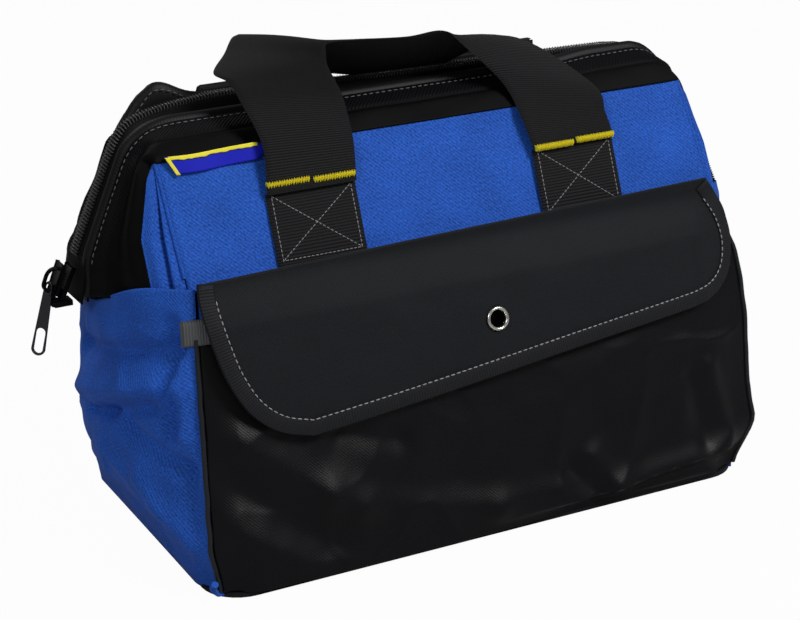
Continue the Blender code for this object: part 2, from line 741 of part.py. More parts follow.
def mouth_cloth(side, name, axis):
    """The blue panel and corner strips, the black ends and the black band of one half."""
    seam = MOUTH_HALF_LENGTH - SEAM_GAP
    rows = []
    for rise in shares(4):
        height = mix(PANEL_FOOT_HEIGHT, PANEL_TOP_HEIGHT, rise)
        rows.append([
            Vector((mix(-seam, seam, share), side * panel_depth(height), height))
            for share in shares(4)
        ])
    cloth(f"{name}_panel", rows, "blue_cloth", CLOTH, DEEP * side, axis)

    rows = []
    for share in shares(2):
        height = mix(BAND_INNER_HEIGHT, BAND_OUTER_HEIGHT, share)
        depth = mix(BAND_INNER_DEPTH, BAND_OUTER_DEPTH, share)
        rows.append([
            Vector((mix(-BAND_HALF_LENGTH, BAND_HALF_LENGTH, step), side * depth, height))
            for step in shares(4)
        ])
    cloth(f"{name}_band", rows, "black_cloth", CLOTH, UP, axis)

    for end, end_name in ((-1, "left"), (1, "right")):
        rows = []
        for rise in shares(5):
            height = mix(STRIP_FOOT_HEIGHT, STRIP_HIGH_HEIGHT, rise)
            corner_height = mix(PANEL_FOOT_HEIGHT, PANEL_TOP_HEIGHT, rise)
            depth = panel_depth(corner_height) - CLOTH - SEAM_GAP
            corner = Vector((end * MOUTH_HALF_LENGTH, side * depth, corner_height))
            edge = strip_edge(end, side, height)
            rows.append([corner.lerp(edge, share) for share in shares(2)])
        outward = Vector((end, side, 0))
        cloth(f"{name}_{end_name}_strip", rows, "blue_cloth", THIN_CLOTH, outward, axis)
        black_end(side, end, f"{name}_{end_name}_end", axis)


def black_end(side, end, name, axis):
    """The black end of one half: ruled from beside the zip to the strip's seam, and round the corner."""
    inner = []
    lowest = min(END_FOOT_REACH)
    top_of_foot = max(END_FOOT_REACH)
    for share in shares(3):
        height = mix(lowest, top_of_foot, share)
        inner.append(Vector((end * along(END_FOOT_REACH, height), side * END_CLOTH_DEPTH, height)))
    for point, out in hoop_path(COIL_FOOT, END_CLOTH_DROP)[1:7]:
        inner.append(Vector((-end * point.x, side * END_CLOTH_DEPTH, point.z)))
    last = Vector((end * (BAND_HALF_LENGTH + BAND_END_GAP), side * END_CLOTH_DEPTH, BAND_INNER_HEIGHT))
    inner[-1] = last
    count = len(inner) - 1
    turn_row = count * 2 // 3
    rows = []
    for number, near in enumerate(inner):
        if number <= turn_row:
            height = mix(STRIP_FOOT_HEIGHT, STRIP_HIGH_HEIGHT, number / turn_row)
            edge = strip_edge(end, side, height)
        else:
            low = strip_edge(end, side, STRIP_HIGH_HEIGHT)
            high = Vector((last.x, side * BAND_OUTER_DEPTH, BAND_OUTER_HEIGHT))
            edge = low.lerp(high, (number - turn_row) / (count - turn_row))
        gap = (near - edge).normalized() * STRIP_GAP
        rows.append([near.lerp(edge + gap, step) for step in shares(3)])
    cloth(name, rows, "black_cloth", THIN_CLOTH, Vector((end, side / 2, 0)), axis)


def upper_piping(side, end, name, axis):
    """The cord in an upper corner seam."""
    rings = []
    for rise in shares(3):
        height = mix(UPPER_PIPING_FOOT, PANEL_TOP_HEIGHT - SEAM_GAP, rise)
        x = end * (MOUTH_HALF_LENGTH + PIPING_RADIUS)
        y = side * (panel_depth(height) - PIPING_RADIUS / 3)
        rings.append([
            Vector((x + PIPING_RADIUS * cos(2 * pi * n / 8), y + PIPING_RADIUS * sin(2 * pi * n / 8), height))
            for n in range(8)
        ])
    piece(name, loft(rings), "blue_cloth", axis)


def ribbon(edges, thickness, columns=2):
    """A webbing strap lofted between two selvages: pairs of outer and inner edge points, and a crown."""
    rings = []
    last = len(edges) - 1
    for n, (outer, inner, crown) in enumerate(edges):
        before = edges[max(n - 1, 0)]
        after = edges[min(n + 1, last)]
        run = (after[0] + after[1]) - (before[0] + before[1])
        face = (inner - outer).cross(run).normalized()
        half = face * (thickness / 2)
        line = []
        for share in shares(columns):
            line.append(outer.lerp(inner, share) + face * (crown * sin(pi * share)))
        rings.append([point + half for point in line] + [point - half for point in reversed(line)])
    return loft(rings)


def smooth_run(points, steps):
    """A smooth run through control values, which are lists of vectors and numbers of one form."""
    made = []
    last = len(points) - 1
    for n in range(last):
        around = [points[max(n - 1, 0)], points[n], points[n + 1], points[min(n + 2, last)]]
        for step in range(steps):
            t = step / steps
            weights = (
                (-t + 2 * t ** 2 - t ** 3) / 2,
                (2 - 5 * t ** 2 + 3 * t ** 3) / 2,
                (t + 4 * t ** 2 - 3 * t ** 3) / 2,
                (-t ** 2 + t ** 3) / 2,
            )
            mixed = [[w * part for part in values] for w, values in zip(weights, around)]
            made.append([a + b + c + d for a, b, c, d in zip(*mixed)])
    made.append(points[-1])
    return made


# A handle's two selvages, in shares. Each row is the outer edge across (of the patch spacing), up (of the
# loop's height) and inwards (of the same), the inner edge the same way, and the crown of the roll.
LOOP_SHARES = (
    (-1.323, 0.000, 0.000, -0.677, 0.000, 0.000, 0.00),
    (-1.385, 0.356, -0.034, -0.660, 0.317, -0.014, 0.00),
    (-1.487, 0.694, -0.003, -0.680, 0.603, -0.006, 0.01),
    (-1.513, 0.940, 0.120, -0.755, 0.857, -0.007, 0.05),
    (-1.256, 1.085, 0.370, -0.745, 1.020, -0.021, 0.09),
    (-0.870, 0.950, 0.585, -0.510, 1.015, -0.040, 0.05),
    (-0.256, 0.802, 0.626, -0.154, 0.982, -0.045, 0.02),
    (0.320, 0.802, 0.622, 0.103, 0.990, -0.045, 0.02),
    (0.850, 0.900, 0.443, 0.260, 0.870, 0.010, 0.05),
    (1.265, 0.442, 0.050, 0.540, 0.550, 0.063, 0.02),
    (1.325, 0.190, 0.006, 0.622, 0.269, 0.012, 0.00),
    (1.323, 0.000, 0.000, 0.677, 0.000, 0.000, 0.00),
)


def loop(side, name, axis, rise_way, in_way, tilt_share):
    """A handle's loop, in the plane that its rise and inward directions give."""
    controls = []
    for ox, ou, ov, ix, iu, iv, crown in LOOP_SHARES:
        outer = ACROSS * (ox * PATCH_X) + rise_way * (ou * LOOP_HEIGHT)
        inner = ACROSS * (ix * PATCH_X) + rise_way * (iu * LOOP_HEIGHT)
        outer += in_way * (ov * tilt_share * LOOP_HEIGHT)
        inner += in_way * (iv * tilt_share * LOOP_HEIGHT)
        controls.append([axis.location + outer, axis.location + inner, -side * crown * LOOP_HEIGHT])
    piece(name, ribbon(smooth_run(controls, 3), WEBBING), "black_webbing", axis)


def patches(side, name, axis):
    """The ends of the handle webbing, box-stitched to the panel. The back ones rise to the bend."""
    for end, end_name in ((-1, "left"), (1, "right")):
        line = []
        for height in (PATCH_FOOT_HEIGHT, TACK_HEIGHT - 2 * SEAM_GAP):
            line.append((panel_depth(height) + SEAM_GAP + WEBBING / 2, height))
        if side > 0:
            line.append((panel_depth(PANEL_TOP_HEIGHT) + 2 * SEAM_GAP + WEBBING / 2, PANEL_TOP_HEIGHT))
            line.append((BEND_DEPTH, BEND_HEIGHT - SEAM_GAP))
        edges = []
        for depth, height in line:
            centre = Vector((end * PATCH_X, side * depth, height))
            half = ACROSS * (WEBBING_WIDTH / 2)
            edges.append((centre - half, centre + half, 0))
        piece(f"{name}_{end_name}_patch", ribbon(edges, WEBBING, 1), "black_webbing", axis)


def label(axis):
    """The plain cloth label in the left end of the front panel's upper seam."""
    rows = []
    for height in (LABEL_TOP_HEIGHT - LABEL_HEIGHT, LABEL_TOP_HEIGHT):
        depth = panel_depth(height) + SEAM_GAP + LABEL_CLOTH
        rows.append([
            Vector((-LABEL_LEFT_X + LABEL_WIDTH * share, -depth, height)) for share in shares(2)
        ])
    cloth("label_tab", rows, "label_cloth", LABEL_CLOTH, -DEEP, axis)


FLAP_SHOULDER = FLAP_TOP - POCKET_TOP


def flap_point(x, drop):
    """A point on the flap's outer face, a drop down from its upper edge."""
    drop *= 1 - FLAP_RISE_SHARE * (0.5 + x / (2 * FLAP_HALF_WIDTH))
    height = FLAP_TOP - drop
    root = FRONT_FOLD_DEPTH + CLOTH
    over = pocket_depth(min(abs(x), FOLD_HALF_LENGTH * 0.9), min(height, POCKET_TOP))
    over += BINDING_CLOTH + SEAM_GAP + FLAP_CLEARANCE + CLOTH
    if drop >= FLAP_SHOULDER:
        return Vector((x, -over, height))
    share = drop / FLAP_SHOULDER
    return Vector((x, -mix(root, over, smooth_step(share)), height))


def flap_half_width(drop, corner):
    """The flap's half width at a drop: a slight flare, then a round corner."""
    width = FLAP_HALF_WIDTH + FLAP_FLARE * sin(pi * min(drop / FLAP_HEIGHT, 1))
    low = drop - (FLAP_HEIGHT - corner)
    if low <= 0:
        return width
    low = min(low, corner)
    return width - corner + sqrt(max(corner ** 2 - low ** 2, 0))


def flap():
    """The flap, the tape that binds its free edge, and the eyelet."""
    straight = FLAP_HEIGHT - FLAP_LEFT_CORNER
    drops = [straight * share for share in shares(5)]
    drops += [straight + FLAP_LEFT_CORNER * sin(share * pi / 2) for share in shares(6)[1:]]
    rows = []
    for drop in drops:
        left = flap_half_width(drop, FLAP_LEFT_CORNER) - FLAP_BIND_WIDTH - SEAM_GAP
        right = flap_half_width(drop, FLAP_RIGHT_CORNER) - FLAP_BIND_WIDTH - SEAM_GAP
        low = drop * (1 - (FLAP_BIND_WIDTH + 4 * SEAM_GAP) / FLAP_HEIGHT)
        rows.append([flap_point(mix(-left, right, share), low) for share in shares(14)])
    sheet = cloth("flap", rows, "black_cloth", CLOTH, -DEEP, FLAP_AXIS)

    seat = flap_point(EYELET_X, EYELET_DROP)
    below = flap_point(EYELET_X, EYELET_DROP + EYELET_RADIUS)
    down = (below - seat).normalized()
    out = down.cross(ACROSS).normalized()
    if out.y > 0:
        out = -out
    hole = eyelet_rings(seat, out, down, [
        (OVERRUN, EYELET_HOLE_RADIUS + EYELET_LIP + SEAM_GAP),
        (-CLOTH - OVERRUN, EYELET_HOLE_RADIUS + EYELET_LIP + SEAM_GAP),
    ])
    cut(sheet, piece("eyelet_cut", loft(hole), "steel", FLAP_AXIS))
    outers = eyelet_rings(seat, out, down, [
        (-CLOTH, EYELET_HOLE_RADIUS + EYELET_LIP),
        (SEAM_GAP, EYELET_HOLE_RADIUS + EYELET_LIP),
        (SEAM_GAP, EYELET_RADIUS),
        (SEAM_GAP + EYELET_LIP / 2, EYELET_RADIUS),
        (SEAM_GAP + EYELET_LIP, EYELET_RADIUS - EYELET_LIP),
    ])
    inners = eyelet_rings(seat, out, down, [
        (-CLOTH, EYELET_HOLE_RADIUS),
        (0, EYELET_HOLE_RADIUS),
        (SEAM_GAP / 2, EYELET_HOLE_RADIUS),
        (SEAM_GAP, EYELET_HOLE_RADIUS),
        (SEAM_GAP + EYELET_LIP, EYELET_HOLE_RADIUS + EYELET_LIP / 2),
    ])
    piece("flap_eyelet", hollow_loft(outers, inners), "bright_metal", FLAP_AXIS)
    flap_binding()


def eyelet_rings(seat, out, down, stations):
    rings = []
    for proud, radius in stations:
        ring = []
        for n in range(20):
            turn = 2 * pi * n / 20
            ring.append(seat + out * proud + ACROSS * (radius * cos(turn)) + down * (radius * sin(turn)))
        rings.append(ring)
    return rings


def flap_binding():
    """A narrow ribbed tape round the flap's two sides and lower edge."""
    left = []
    for share in shares(4)[:-1]:
        drop = (FLAP_HEIGHT - FLAP_LEFT_CORNER) * share
        left.append((-flap_half_width(drop, FLAP_LEFT_CORNER), drop, -1, 0))
    for share in shares(7):
        turn = share * pi / 2
        drop = FLAP_HEIGHT - FLAP_LEFT_CORNER + FLAP_LEFT_CORNER * sin(turn)
        left.append((-flap_half_width(drop, FLAP_LEFT_CORNER), drop, -cos(turn), sin(turn)))
    right = []
    for share in shares(5)[:-1]:
        drop = (FLAP_HEIGHT - FLAP_RIGHT_CORNER) * share
        right.append((flap_half_width(drop, FLAP_RIGHT_CORNER), drop, 1, 0))
    for share in shares(7):
        turn = share * pi / 2
        drop = FLAP_HEIGHT - FLAP_RIGHT_CORNER + FLAP_RIGHT_CORNER * sin(turn)
        right.append((flap_half_width(drop, FLAP_RIGHT_CORNER), drop, cos(turn), sin(turn)))
    middle = [(mix(left[-1][0], right[-1][0], share), FLAP_HEIGHT, 0, 1) for share in shares(8)[1:-1]]
    rings = []
    for x, drop, out_x, out_drop in left + middle + right[::-1]:
        near = flap_point(x - out_x * FLAP_BIND_WIDTH, drop - out_drop * FLAP_BIND_WIDTH)
        far = flap_point(x, drop)
        back = DEEP * CLOTH
        rings.append([near, far, far + back, near + back])
    piece("flap_binding", loft(rings), "black_webbing", FLAP_AXIS)


def slider():
    """The zip slider: two plates joined by a post, with rolled flanges, and a bail on its outer plate."""
    low = SLIDER_REST - SLIDER_LENGTH / 2
    high = SLIDER_REST + SLIDER_LENGTH / 2
    inner = SLIDER_CHANNEL / 2
    outer = inner + SLIDER_PLATE
    slot = SLIDER_SLOT / 2
    body = None
    for way in (-1, 1):
        rings = []
        for rise, waist in ((low, 0.92), (mix(low, high, 0.3), 1), (mix(low, high, 0.8), 1), (high, 0.92)):
            half = SLIDER_HALF_WIDTH * waist
            thin = half - SLIDER_FLANGE
            rings.append([
                leg_point(-1, rise, -half, way * slot),
                leg_point(-1, rise, -thin, way * slot),
                leg_point(-1, rise, -thin, way * inner),
                leg_point(-1, rise, thin, way * inner),
                leg_point(-1, rise, thin, way * slot),
                leg_point(-1, rise, half, way * slot),
                leg_point(-1, rise, half, way * (outer - SLIDER_FLANGE / 2)),
                leg_point(-1, rise, thin, way * outer),
                leg_point(-1, rise, -thin, way * outer),
                leg_point(-1, rise, -half, way * (outer - SLIDER_FLANGE / 2)),
            ])
        plate = piece("slider_body" if way < 0 else "slider_outer_plate", loft(rings), "dark_metal", SLIDER_AXIS)
        if body is None:
            body = plate
        else:
            cut(body, plate, "UNION")
    post = []
    for rise in (low + SEAM_GAP, low + SLIDER_POST_LENGTH):
        half = SLIDER_POST_HALF_WIDTH
        reach = outer - SLIDER_PLATE / 2
        post.append([
            leg_point(-1, rise, -half, -reach),
            leg_point(-1, rise, half, -reach),
            leg_point(-1, rise, half, reach),
            leg_point(-1, rise, -half, reach),
        ])
    cut(body, piece("slider_post", loft(post), "dark_metal", SLIDER_AXIS), "UNION")
    foot = SLIDER_REST - BAIL_LENGTH / 2
    head = SLIDER_REST + BAIL_LENGTH / 2
    sunk = outer - SLIDER_PLATE / 2
    top = outer + BAIL_HEIGHT
    profile = (
        (foot, sunk), (foot, top - BAIL_WALL), (foot + BAIL_WALL, top),
        (mix(foot, head, 0.7), top), (head, outer + BAIL_WALL), (head, sunk),
        (head - BAIL_WALL, sunk), (head - BAIL_WALL, outer + BAIL_WALL / 2),
        (mix(foot, head, 0.66), top - BAIL_WALL), (foot + BAIL_WALL, top - BAIL_WALL),
        (foot + BAIL_WALL, sunk),
    )
    sides = []
    for y in (-BAIL_HALF_WIDTH, BAIL_HALF_WIDTH):
        sides.append([leg_point(-1, rise, y, proud) for rise, proud in profile])
    cut(body, piece("slider_bail", loft(sides), "dark_metal", SLIDER_AXIS), "UNION")


def pull():
    """The zip pull: a tapered plate with a square eye for the bail and a long slot."""
    hang = Vector((-sin(PULL_HANG), 0, -cos(PULL_HANG)))
    face = Vector((-cos(PULL_HANG), 0, sin(PULL_HANG)))
    eye = PULL_AXIS.location
    outline = []
    head = PULL_WIDTH * 0.4
    tip = PULL_WIDTH / 2
    start = -PULL_HEAD
    for share in shares(6):
        turn = pi * share
        outline.append((head * cos(turn), start + head * 0.4 * (1 - sin(turn))))
    for share in shares(10):
        turn = pi + pi * share
        outline.append((tip * cos(turn), PULL_LENGTH - tip - tip * sin(turn)))
    rows = []
    for sink in (-PULL_THICKNESS / 2, PULL_THICKNESS / 2):
        rows.append([eye + DEEP * y + hang * drop + face * sink for y, drop in outline])
    plate = piece("zip_pull", loft(rows), "dark_metal", PULL_AXIS)
    for name, middle, width, length in (
        ("pull_eye", PULL_EYE_LENGTH / 2 - PULL_THICKNESS / 2, PULL_EYE_WIDTH, PULL_EYE_LENGTH),
        ("pull_slot", PULL_LENGTH - PULL_RIM - PULL_SLOT_LENGTH / 2, PULL_SLOT_WIDTH, PULL_SLOT_LENGTH),
    ):
        radius = width / 2
        shape = []
        for sign in (-1, 1):
            for share in shares(5):
                turn = pi * share + (pi if sign < 0 else 0)
                shape.append((radius * cos(turn), middle + sign * (length / 2 - radius) + radius * sin(turn)))
        rows = []
        for sink in (-PULL_THICKNESS, PULL_THICKNESS):
            rows.append([eye + DEEP * y + hang * drop + face * sink for y, drop in shape])
        cut(plate, piece(name, loft(rows), "steel", PULL_AXIS))


bottom()
lower_walls()
gussets()
pocket()
lower_piping()
end_tabs()
for side, name in ((-1, "front"), (1, "back")):
    hoops(side, name, MOUTH_AXES[side])
    mouth_cloth(side, name, MOUTH_AXES[side])
    patches(side, name, MOUTH_AXES[side])
    for end, end_name in ((-1, "left"), (1, "right")):
        upper_piping(side, end, f"{name}_{end_name}_upper_piping", MOUTH_AXES[side])
label(MOUTH_AXES[-1])
loop(
    -1, "front_handle", HANDLE_AXES[-1],
    Vector((0, sin(LEAN_IN), cos(LEAN_IN))),
    Vector((0, cos(LEAN_IN), -sin(LEAN_IN))), 1,
)
loop(
    1, "back_handle", HANDLE_AXES[1],
    Vector((0, cos(DROOP), -sin(DROOP))),
    Vector((0, sin(DROOP), cos(DROOP))), BACK_LOOP_TILT_SHARE,
)
flap()
slider()
pull()
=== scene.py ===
"""Looks of a blue and black tool bag with a framed zip mouth, dressed over its CAD frame.

Metres, +Z up, the pocket faces -Y, the slider rests at the -X end.
"""
from math import atan2, copysign, cos, exp, hypot, pi, radians, sin, sqrt, tan

import bmesh
import bpy
from mathutils import Matrix, Vector, noise


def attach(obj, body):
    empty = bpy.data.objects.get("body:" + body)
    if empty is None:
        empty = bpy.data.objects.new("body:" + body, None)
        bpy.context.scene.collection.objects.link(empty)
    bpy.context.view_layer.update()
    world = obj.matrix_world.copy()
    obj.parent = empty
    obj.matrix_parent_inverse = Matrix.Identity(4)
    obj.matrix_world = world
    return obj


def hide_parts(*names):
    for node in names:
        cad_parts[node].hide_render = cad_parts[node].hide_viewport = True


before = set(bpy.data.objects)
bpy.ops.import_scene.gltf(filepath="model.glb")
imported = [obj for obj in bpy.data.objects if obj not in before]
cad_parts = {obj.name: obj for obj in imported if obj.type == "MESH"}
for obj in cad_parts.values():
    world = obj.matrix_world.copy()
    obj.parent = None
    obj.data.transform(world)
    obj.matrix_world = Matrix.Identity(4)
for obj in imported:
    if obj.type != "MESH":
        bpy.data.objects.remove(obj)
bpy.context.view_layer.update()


# Base. A stiff board lies on a flat panel of heavy black cloth, which the walls are sewn to all round.
# Its corners are cut round, so the corner seams are drawn in where they meet it.
def feed(tree, place, value):
    """Links a signal to a node's input, or sets the input to a plain value."""
    if isinstance(value, Signal):
        tree.links.new(value.socket, place)
    else:
        place.default_value = value


def add_node(tree, kind, inputs=None, output=0, **settings):
    """A new shader node with its inputs fed: one of its outputs, as a signal."""
    node = tree.nodes.new("ShaderNode" + kind)
    for key, value in settings.items():
        setattr(node, key, value)
    for key, value in (inputs or {}).items():
        feed(tree, node.inputs[key], value)
    return Signal(tree, node.outputs[output])


class Signal:
    """A socket's value in a sum: each operator adds a Math node."""

    def __init__(self, tree, socket):
        self.tree = tree
        self.socket = socket

    def reckon(self, operation, *values):
        return add_node(self.tree, "Math", dict(enumerate(values)), operation=operation)

    def beside(self, output):
        """Another output of the same node."""
        return Signal(self.tree, self.socket.node.outputs[output])

    def __add__(self, other):
        return self.reckon("ADD", self, other)

    def __sub__(self, other):
        return self.reckon("SUBTRACT", self, other)

    def __rsub__(self, other):
        return self.reckon("SUBTRACT", other, self)

    def __mul__(self, other):
        return self.reckon("MULTIPLY", self, other)

    def __lt__(self, other):
        return self.reckon("LESS_THAN", self, other)

    def wave(self, pitch):
        """A ripple from 0 to 1 that repeats at each pitch."""
        turn = self * (2 * pi / pitch)
        return turn.reckon("SINE", turn) * 0.5 + 0.5


class Finish:
    """A material with the nodes that feed its shader, and the name of its slot."""

    def __init__(self, name, slot, color, roughness, metallic=0.0, shine=0.5, sheen=0.0, fuzz=0.5):
        self.slot = slot
        self.color = color
        self.material = bpy.data.materials.new(name)
        self.material.use_nodes = True
        self.tree = self.material.node_tree
        self.shader = self.tree.nodes["Principled BSDF"]
        values = {"Base Color": (*color, 1), "Roughness": roughness, "Metallic": metallic,
                  "Specular IOR Level": shine, "Sheen Weight": sheen, "Sheen Roughness": fuzz}
        for key, value in values.items():
            self.shader.inputs[key].default_value = value

    def weave_map(self):
        """The cloth's own place, length and width in metres."""
        place = add_node(self.tree, "UVMap", uv_map="weave")
        length = add_node(self.tree, "SeparateXYZ", {0: place})
        return place, length, length.beside(1)

    def grain(self, place, scale):
        return add_node(self.tree, "TexNoise", {"Vector": place, "Scale": scale})

    def shade(self, mask, low, high):
        """Base Color between two brightnesses of the finish's own colour."""
        dark, light = [(*[part * level for part in self.color], 1) for level in (low, high)]
        mixed = add_node(self.tree, "Mix", {"Factor": mask, 6: dark, 7: light}, 2, data_type="RGBA")
        feed(self.tree, self.shader.inputs["Base Color"], mixed)

    def relief(self, height, depth):
        bump = add_node(self.tree, "Bump", {"Height": height, "Distance": depth})
        feed(self.tree, self.shader.inputs["Normal"], bump)


def woven(name, slot, color, roughness, yarn, relief, contrast, **gloss):
    """Twilled cloth: slanted yarns, a little uneven in thickness and worn lighter in places."""
    made = Finish(name, slot, color, roughness, **gloss)
    place, length, width = made.weave_map()
    twill = (length + width).wave(yarn * 2.2)
    slub = made.grain(place, 0.8 / yarn)
    wear = made.grain(place, 45)
    made.shade(twill * 0.35 + slub * 1.7 + wear * 0.5 - 0.78, 1 - contrast, 1 + contrast)
    made.relief(twill * 0.5 + slub * 1.4, relief)
    return made


def as_mesh(shape, name):
    mesh = bpy.data.meshes.new(name)
    shape.to_mesh(mesh)
    shape.free()
    return mesh


def add_object(name, data):
    made = bpy.data.objects.new(name, data)
    bpy.context.collection.objects.link(made)
    return made


def set_up(shape, name, finish, body, nodes=(), wall=0.0, sharp=40):
    """Makes the shape a piece that rides on a body and stands for the CAD nodes named."""
    name = name.replace(" ", "_")
    mesh = as_mesh(shape, name)
    mesh.shade_smooth()
    mesh.set_sharp_from_angle(angle=radians(sharp))
    mesh.materials.append(finish.material)
    piece = add_object(name, mesh)
    if wall:
        thick = piece.modifiers.new("Thickness", "SOLIDIFY")
        thick.thickness = wall
        thick.offset = -1
    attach(piece, body)
    if nodes:
        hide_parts(*nodes)
    return piece


black_cloth = woven(
    "black nylon", "black_cloth", (0.007, 0.0078, 0.0095), 0.62, 0.0009, 0.00008, 0.35,
    shine=0.16, sheen=0.02, fuzz=0.45,
)

BASE_HALF_LENGTH = 0.163
FRONT_BASE_DEPTH = 0.1
BACK_BASE_DEPTH = 0.096
BASE_CORNER = 0.022
BASE_INSET = 0.0012


def block(shape, corner):
    """Adds a block with its corners where corner(x, y, z) says, from signs that are -1 or 1."""
    made = bmesh.ops.create_cube(shape, size=1)["verts"]
    for vert in made:
        vert.co = corner(*[copysign(1, part) for part in vert.co])
    return made


def base_plate(half_length, front, back, low, high, corner):
    shape = bmesh.new()
    block(shape, lambda x, y, z: Vector((x * half_length, back if y > 0 else -front, high if z > 0 else low)))
    upright = [edge for edge in shape.edges if edge.verts[0].co.z != edge.verts[1].co.z]
    bmesh.ops.bevel(shape, geom=upright, offset=corner, segments=8, profile=0.5, affect="EDGES", material=-1)
    bmesh.ops.triangulate(shape, faces=shape.faces)
    for n in range(-6, 7):
        cut = Vector((n * half_length / 7, 0, 0))
        geometry = shape.verts[:] + shape.edges[:] + shape.faces[:]
        bmesh.ops.bisect_plane(shape, geom=geometry, plane_co=cut, plane_no=Vector((1, 0, 0)))
    return shape


bottom = base_plate(
    BASE_HALF_LENGTH - BASE_INSET, FRONT_BASE_DEPTH - BASE_INSET, BACK_BASE_DEPTH, 0, 0.0025, BASE_CORNER,
)
set_up(bottom, "bottom cloth", black_cloth, "bag", ["bottom_panel"])
board_finish = Finish("grey board", "grey_board", (0.08, 0.08, 0.085), 0.7)
board = base_plate(0.153, 0.07, 0.086, 0.0028, 0.0058, 0.012)
set_up(board, "stiffening board", board_finish, "bag", ["base_board"])


# Lower walls. Two sheets of blue polyester rise from the base to the fold line. The front one hangs behind
# the pocket and the back one is the bag's back. Both are sewn into the corner seams.
blue_cloth = woven(
    "blue polyester", "blue_cloth", (0.0155, 0.085, 0.43), 0.75, 0.001, 0.00012, 0.5,
    shine=0.15, sheen=0.03,
)
FOLD_HEIGHT = 0.157
WALL_FOOT = 0.0008


def skin(steps, size, place, welded=False):
    """A grid laid over a surface point by point, with a weave map in metres. Welded, it closes to a solid."""
    shape = bmesh.new()
    weave = shape.loops.layers.uv.new("weave")
    bmesh.ops.create_grid(shape, x_segments=steps[0], y_segments=steps[1], size=0.5)
    for face in shape.faces:
        for corner in face.loops:
            spot = corner.vert.co
            corner[weave].uv = ((spot.x + 0.5) * size[0], (spot.y + 0.5) * size[1])
    for vert in shape.verts:
        vert.co = place(vert.co.x + 0.5, vert.co.y + 0.5)
    if welded:
        bmesh.ops.remove_doubles(shape, verts=shape.verts, dist=0.00001)
        bmesh.ops.holes_fill(shape, edges=[edge for edge in shape.edges if edge.is_boundary], sides=0)
    return shape


def mix(low, high, share):
    return low + (high - low) * share


def ease(share):
    """0 to 1, slow at both ends."""
    share = min(max(share, 0), 1)
    return share * share * (3 - 2 * share)


def half_length(height):
    """How far the corner seams stand from the middle."""
    return mix(BASE_HALF_LENGTH, 0.151, height / FOLD_HEIGHT)


def corner_depth(side, height):
    """How far the corner seam lies forward (-1) or back (1)."""
    share = height / FOLD_HEIGHT
    if side < 0:
        return mix(FRONT_BASE_DEPTH, 0.066, share)
    return mix(BACK_BASE_DEPTH, 0.064, share) + 0.004 * sin(pi * min(share, 1))


def drawn_to_base(point, height):
    """Draws a place near a corner seam in to the base's round corner, less the higher it is."""
    share = ease(1 - height / 0.032)
    along_x = ease((abs(point.x) - 0.135) / 0.028)
    along_y = ease((abs(point.y) - 0.07) / 0.028)
    pull_in = 0.0064 * share * along_x * along_y
    return point - Vector((copysign(pull_in, point.x), copysign(pull_in, point.y), 0))


def fold_lift(across, up, folds):
    """How far folds lift the cloth at a place: each has its two ends, rise and width, in millimetres."""
    lift = 0.0
    for (ax, az), (bx, bz), rise, width in folds:
        run_x = (bx - ax) / 1000
        run_z = (bz - az) / 1000
        dx = across - ax / 1000
        dz = up - az / 1000
        share = (dx * run_x + dz * run_z) / (run_x ** 2 + run_z ** 2)
        share = min(max(share, 0), 1)
        gap = hypot(dx - run_x * share, dz - run_z * share) / (width / 1000)
        if gap < 3:
            lift += rise / 1000 * exp(-gap ** 1.8)
    return lift


def rumple(point, coarse, fine):
    """Small unevenness of cloth that has been handled."""
    slow = noise.noise(point * 26 + Vector((3.1, 0.4, 7.7)))
    quick = noise.noise(point * 85 + Vector((9.2, 5.1, 1.3)))
    return slow * coarse + quick * fine


BACK_FOLDS = (
    ((-120, 140), (-60, 60), -2.0, 14),
    ((-60, 60), (-30, 20), 2.0, 12),
    ((130, 130), (70, 40), 2.2, 13),
    ((90, 120), (40, 30), -1.8, 12),
    ((-10, 110), (10, 50), 1.4, 16),
)


def back_place(u, v):
    height = mix(WALL_FOOT, FOLD_HEIGHT, v)
    x = (1 - 2 * u) * (half_length(height) - 0.0003)
    seam = 1 - abs(1 - 2 * u) ** 8
    point = Vector((x, corner_depth(1, height), height))
    hang = sin(pi * v) ** 0.7 * seam
    point.y += hang * (fold_lift(x, height, BACK_FOLDS) + rumple(point, 0.0016, 0.0003))
    return drawn_to_base(point, height)


def front_place(u, v):
    height = mix(WALL_FOOT, FOLD_HEIGHT, v)
    x = (2 * u - 1) * (half_length(height) - 0.0022)
    behind = 0.064 + 0.01 * (1 - height / FOLD_HEIGHT) ** 2
    edge = corner_depth(-1, height) - 0.0026
    depth = mix(behind, edge, (abs(x) / half_length(height)) ** 6)
    return drawn_to_base(Vector((x, -depth, height)), height)


WALLS = (("back", back_place, (110, 56), 0.0012), ("front", front_place, (60, 30), 0.0018))
for name, place, steps, wall in WALLS:
    set_up(skin(steps, (0.31, 0.16), place), f"{name} wall sheet", blue_cloth, "bag", [f"{name}_wall"], wall)


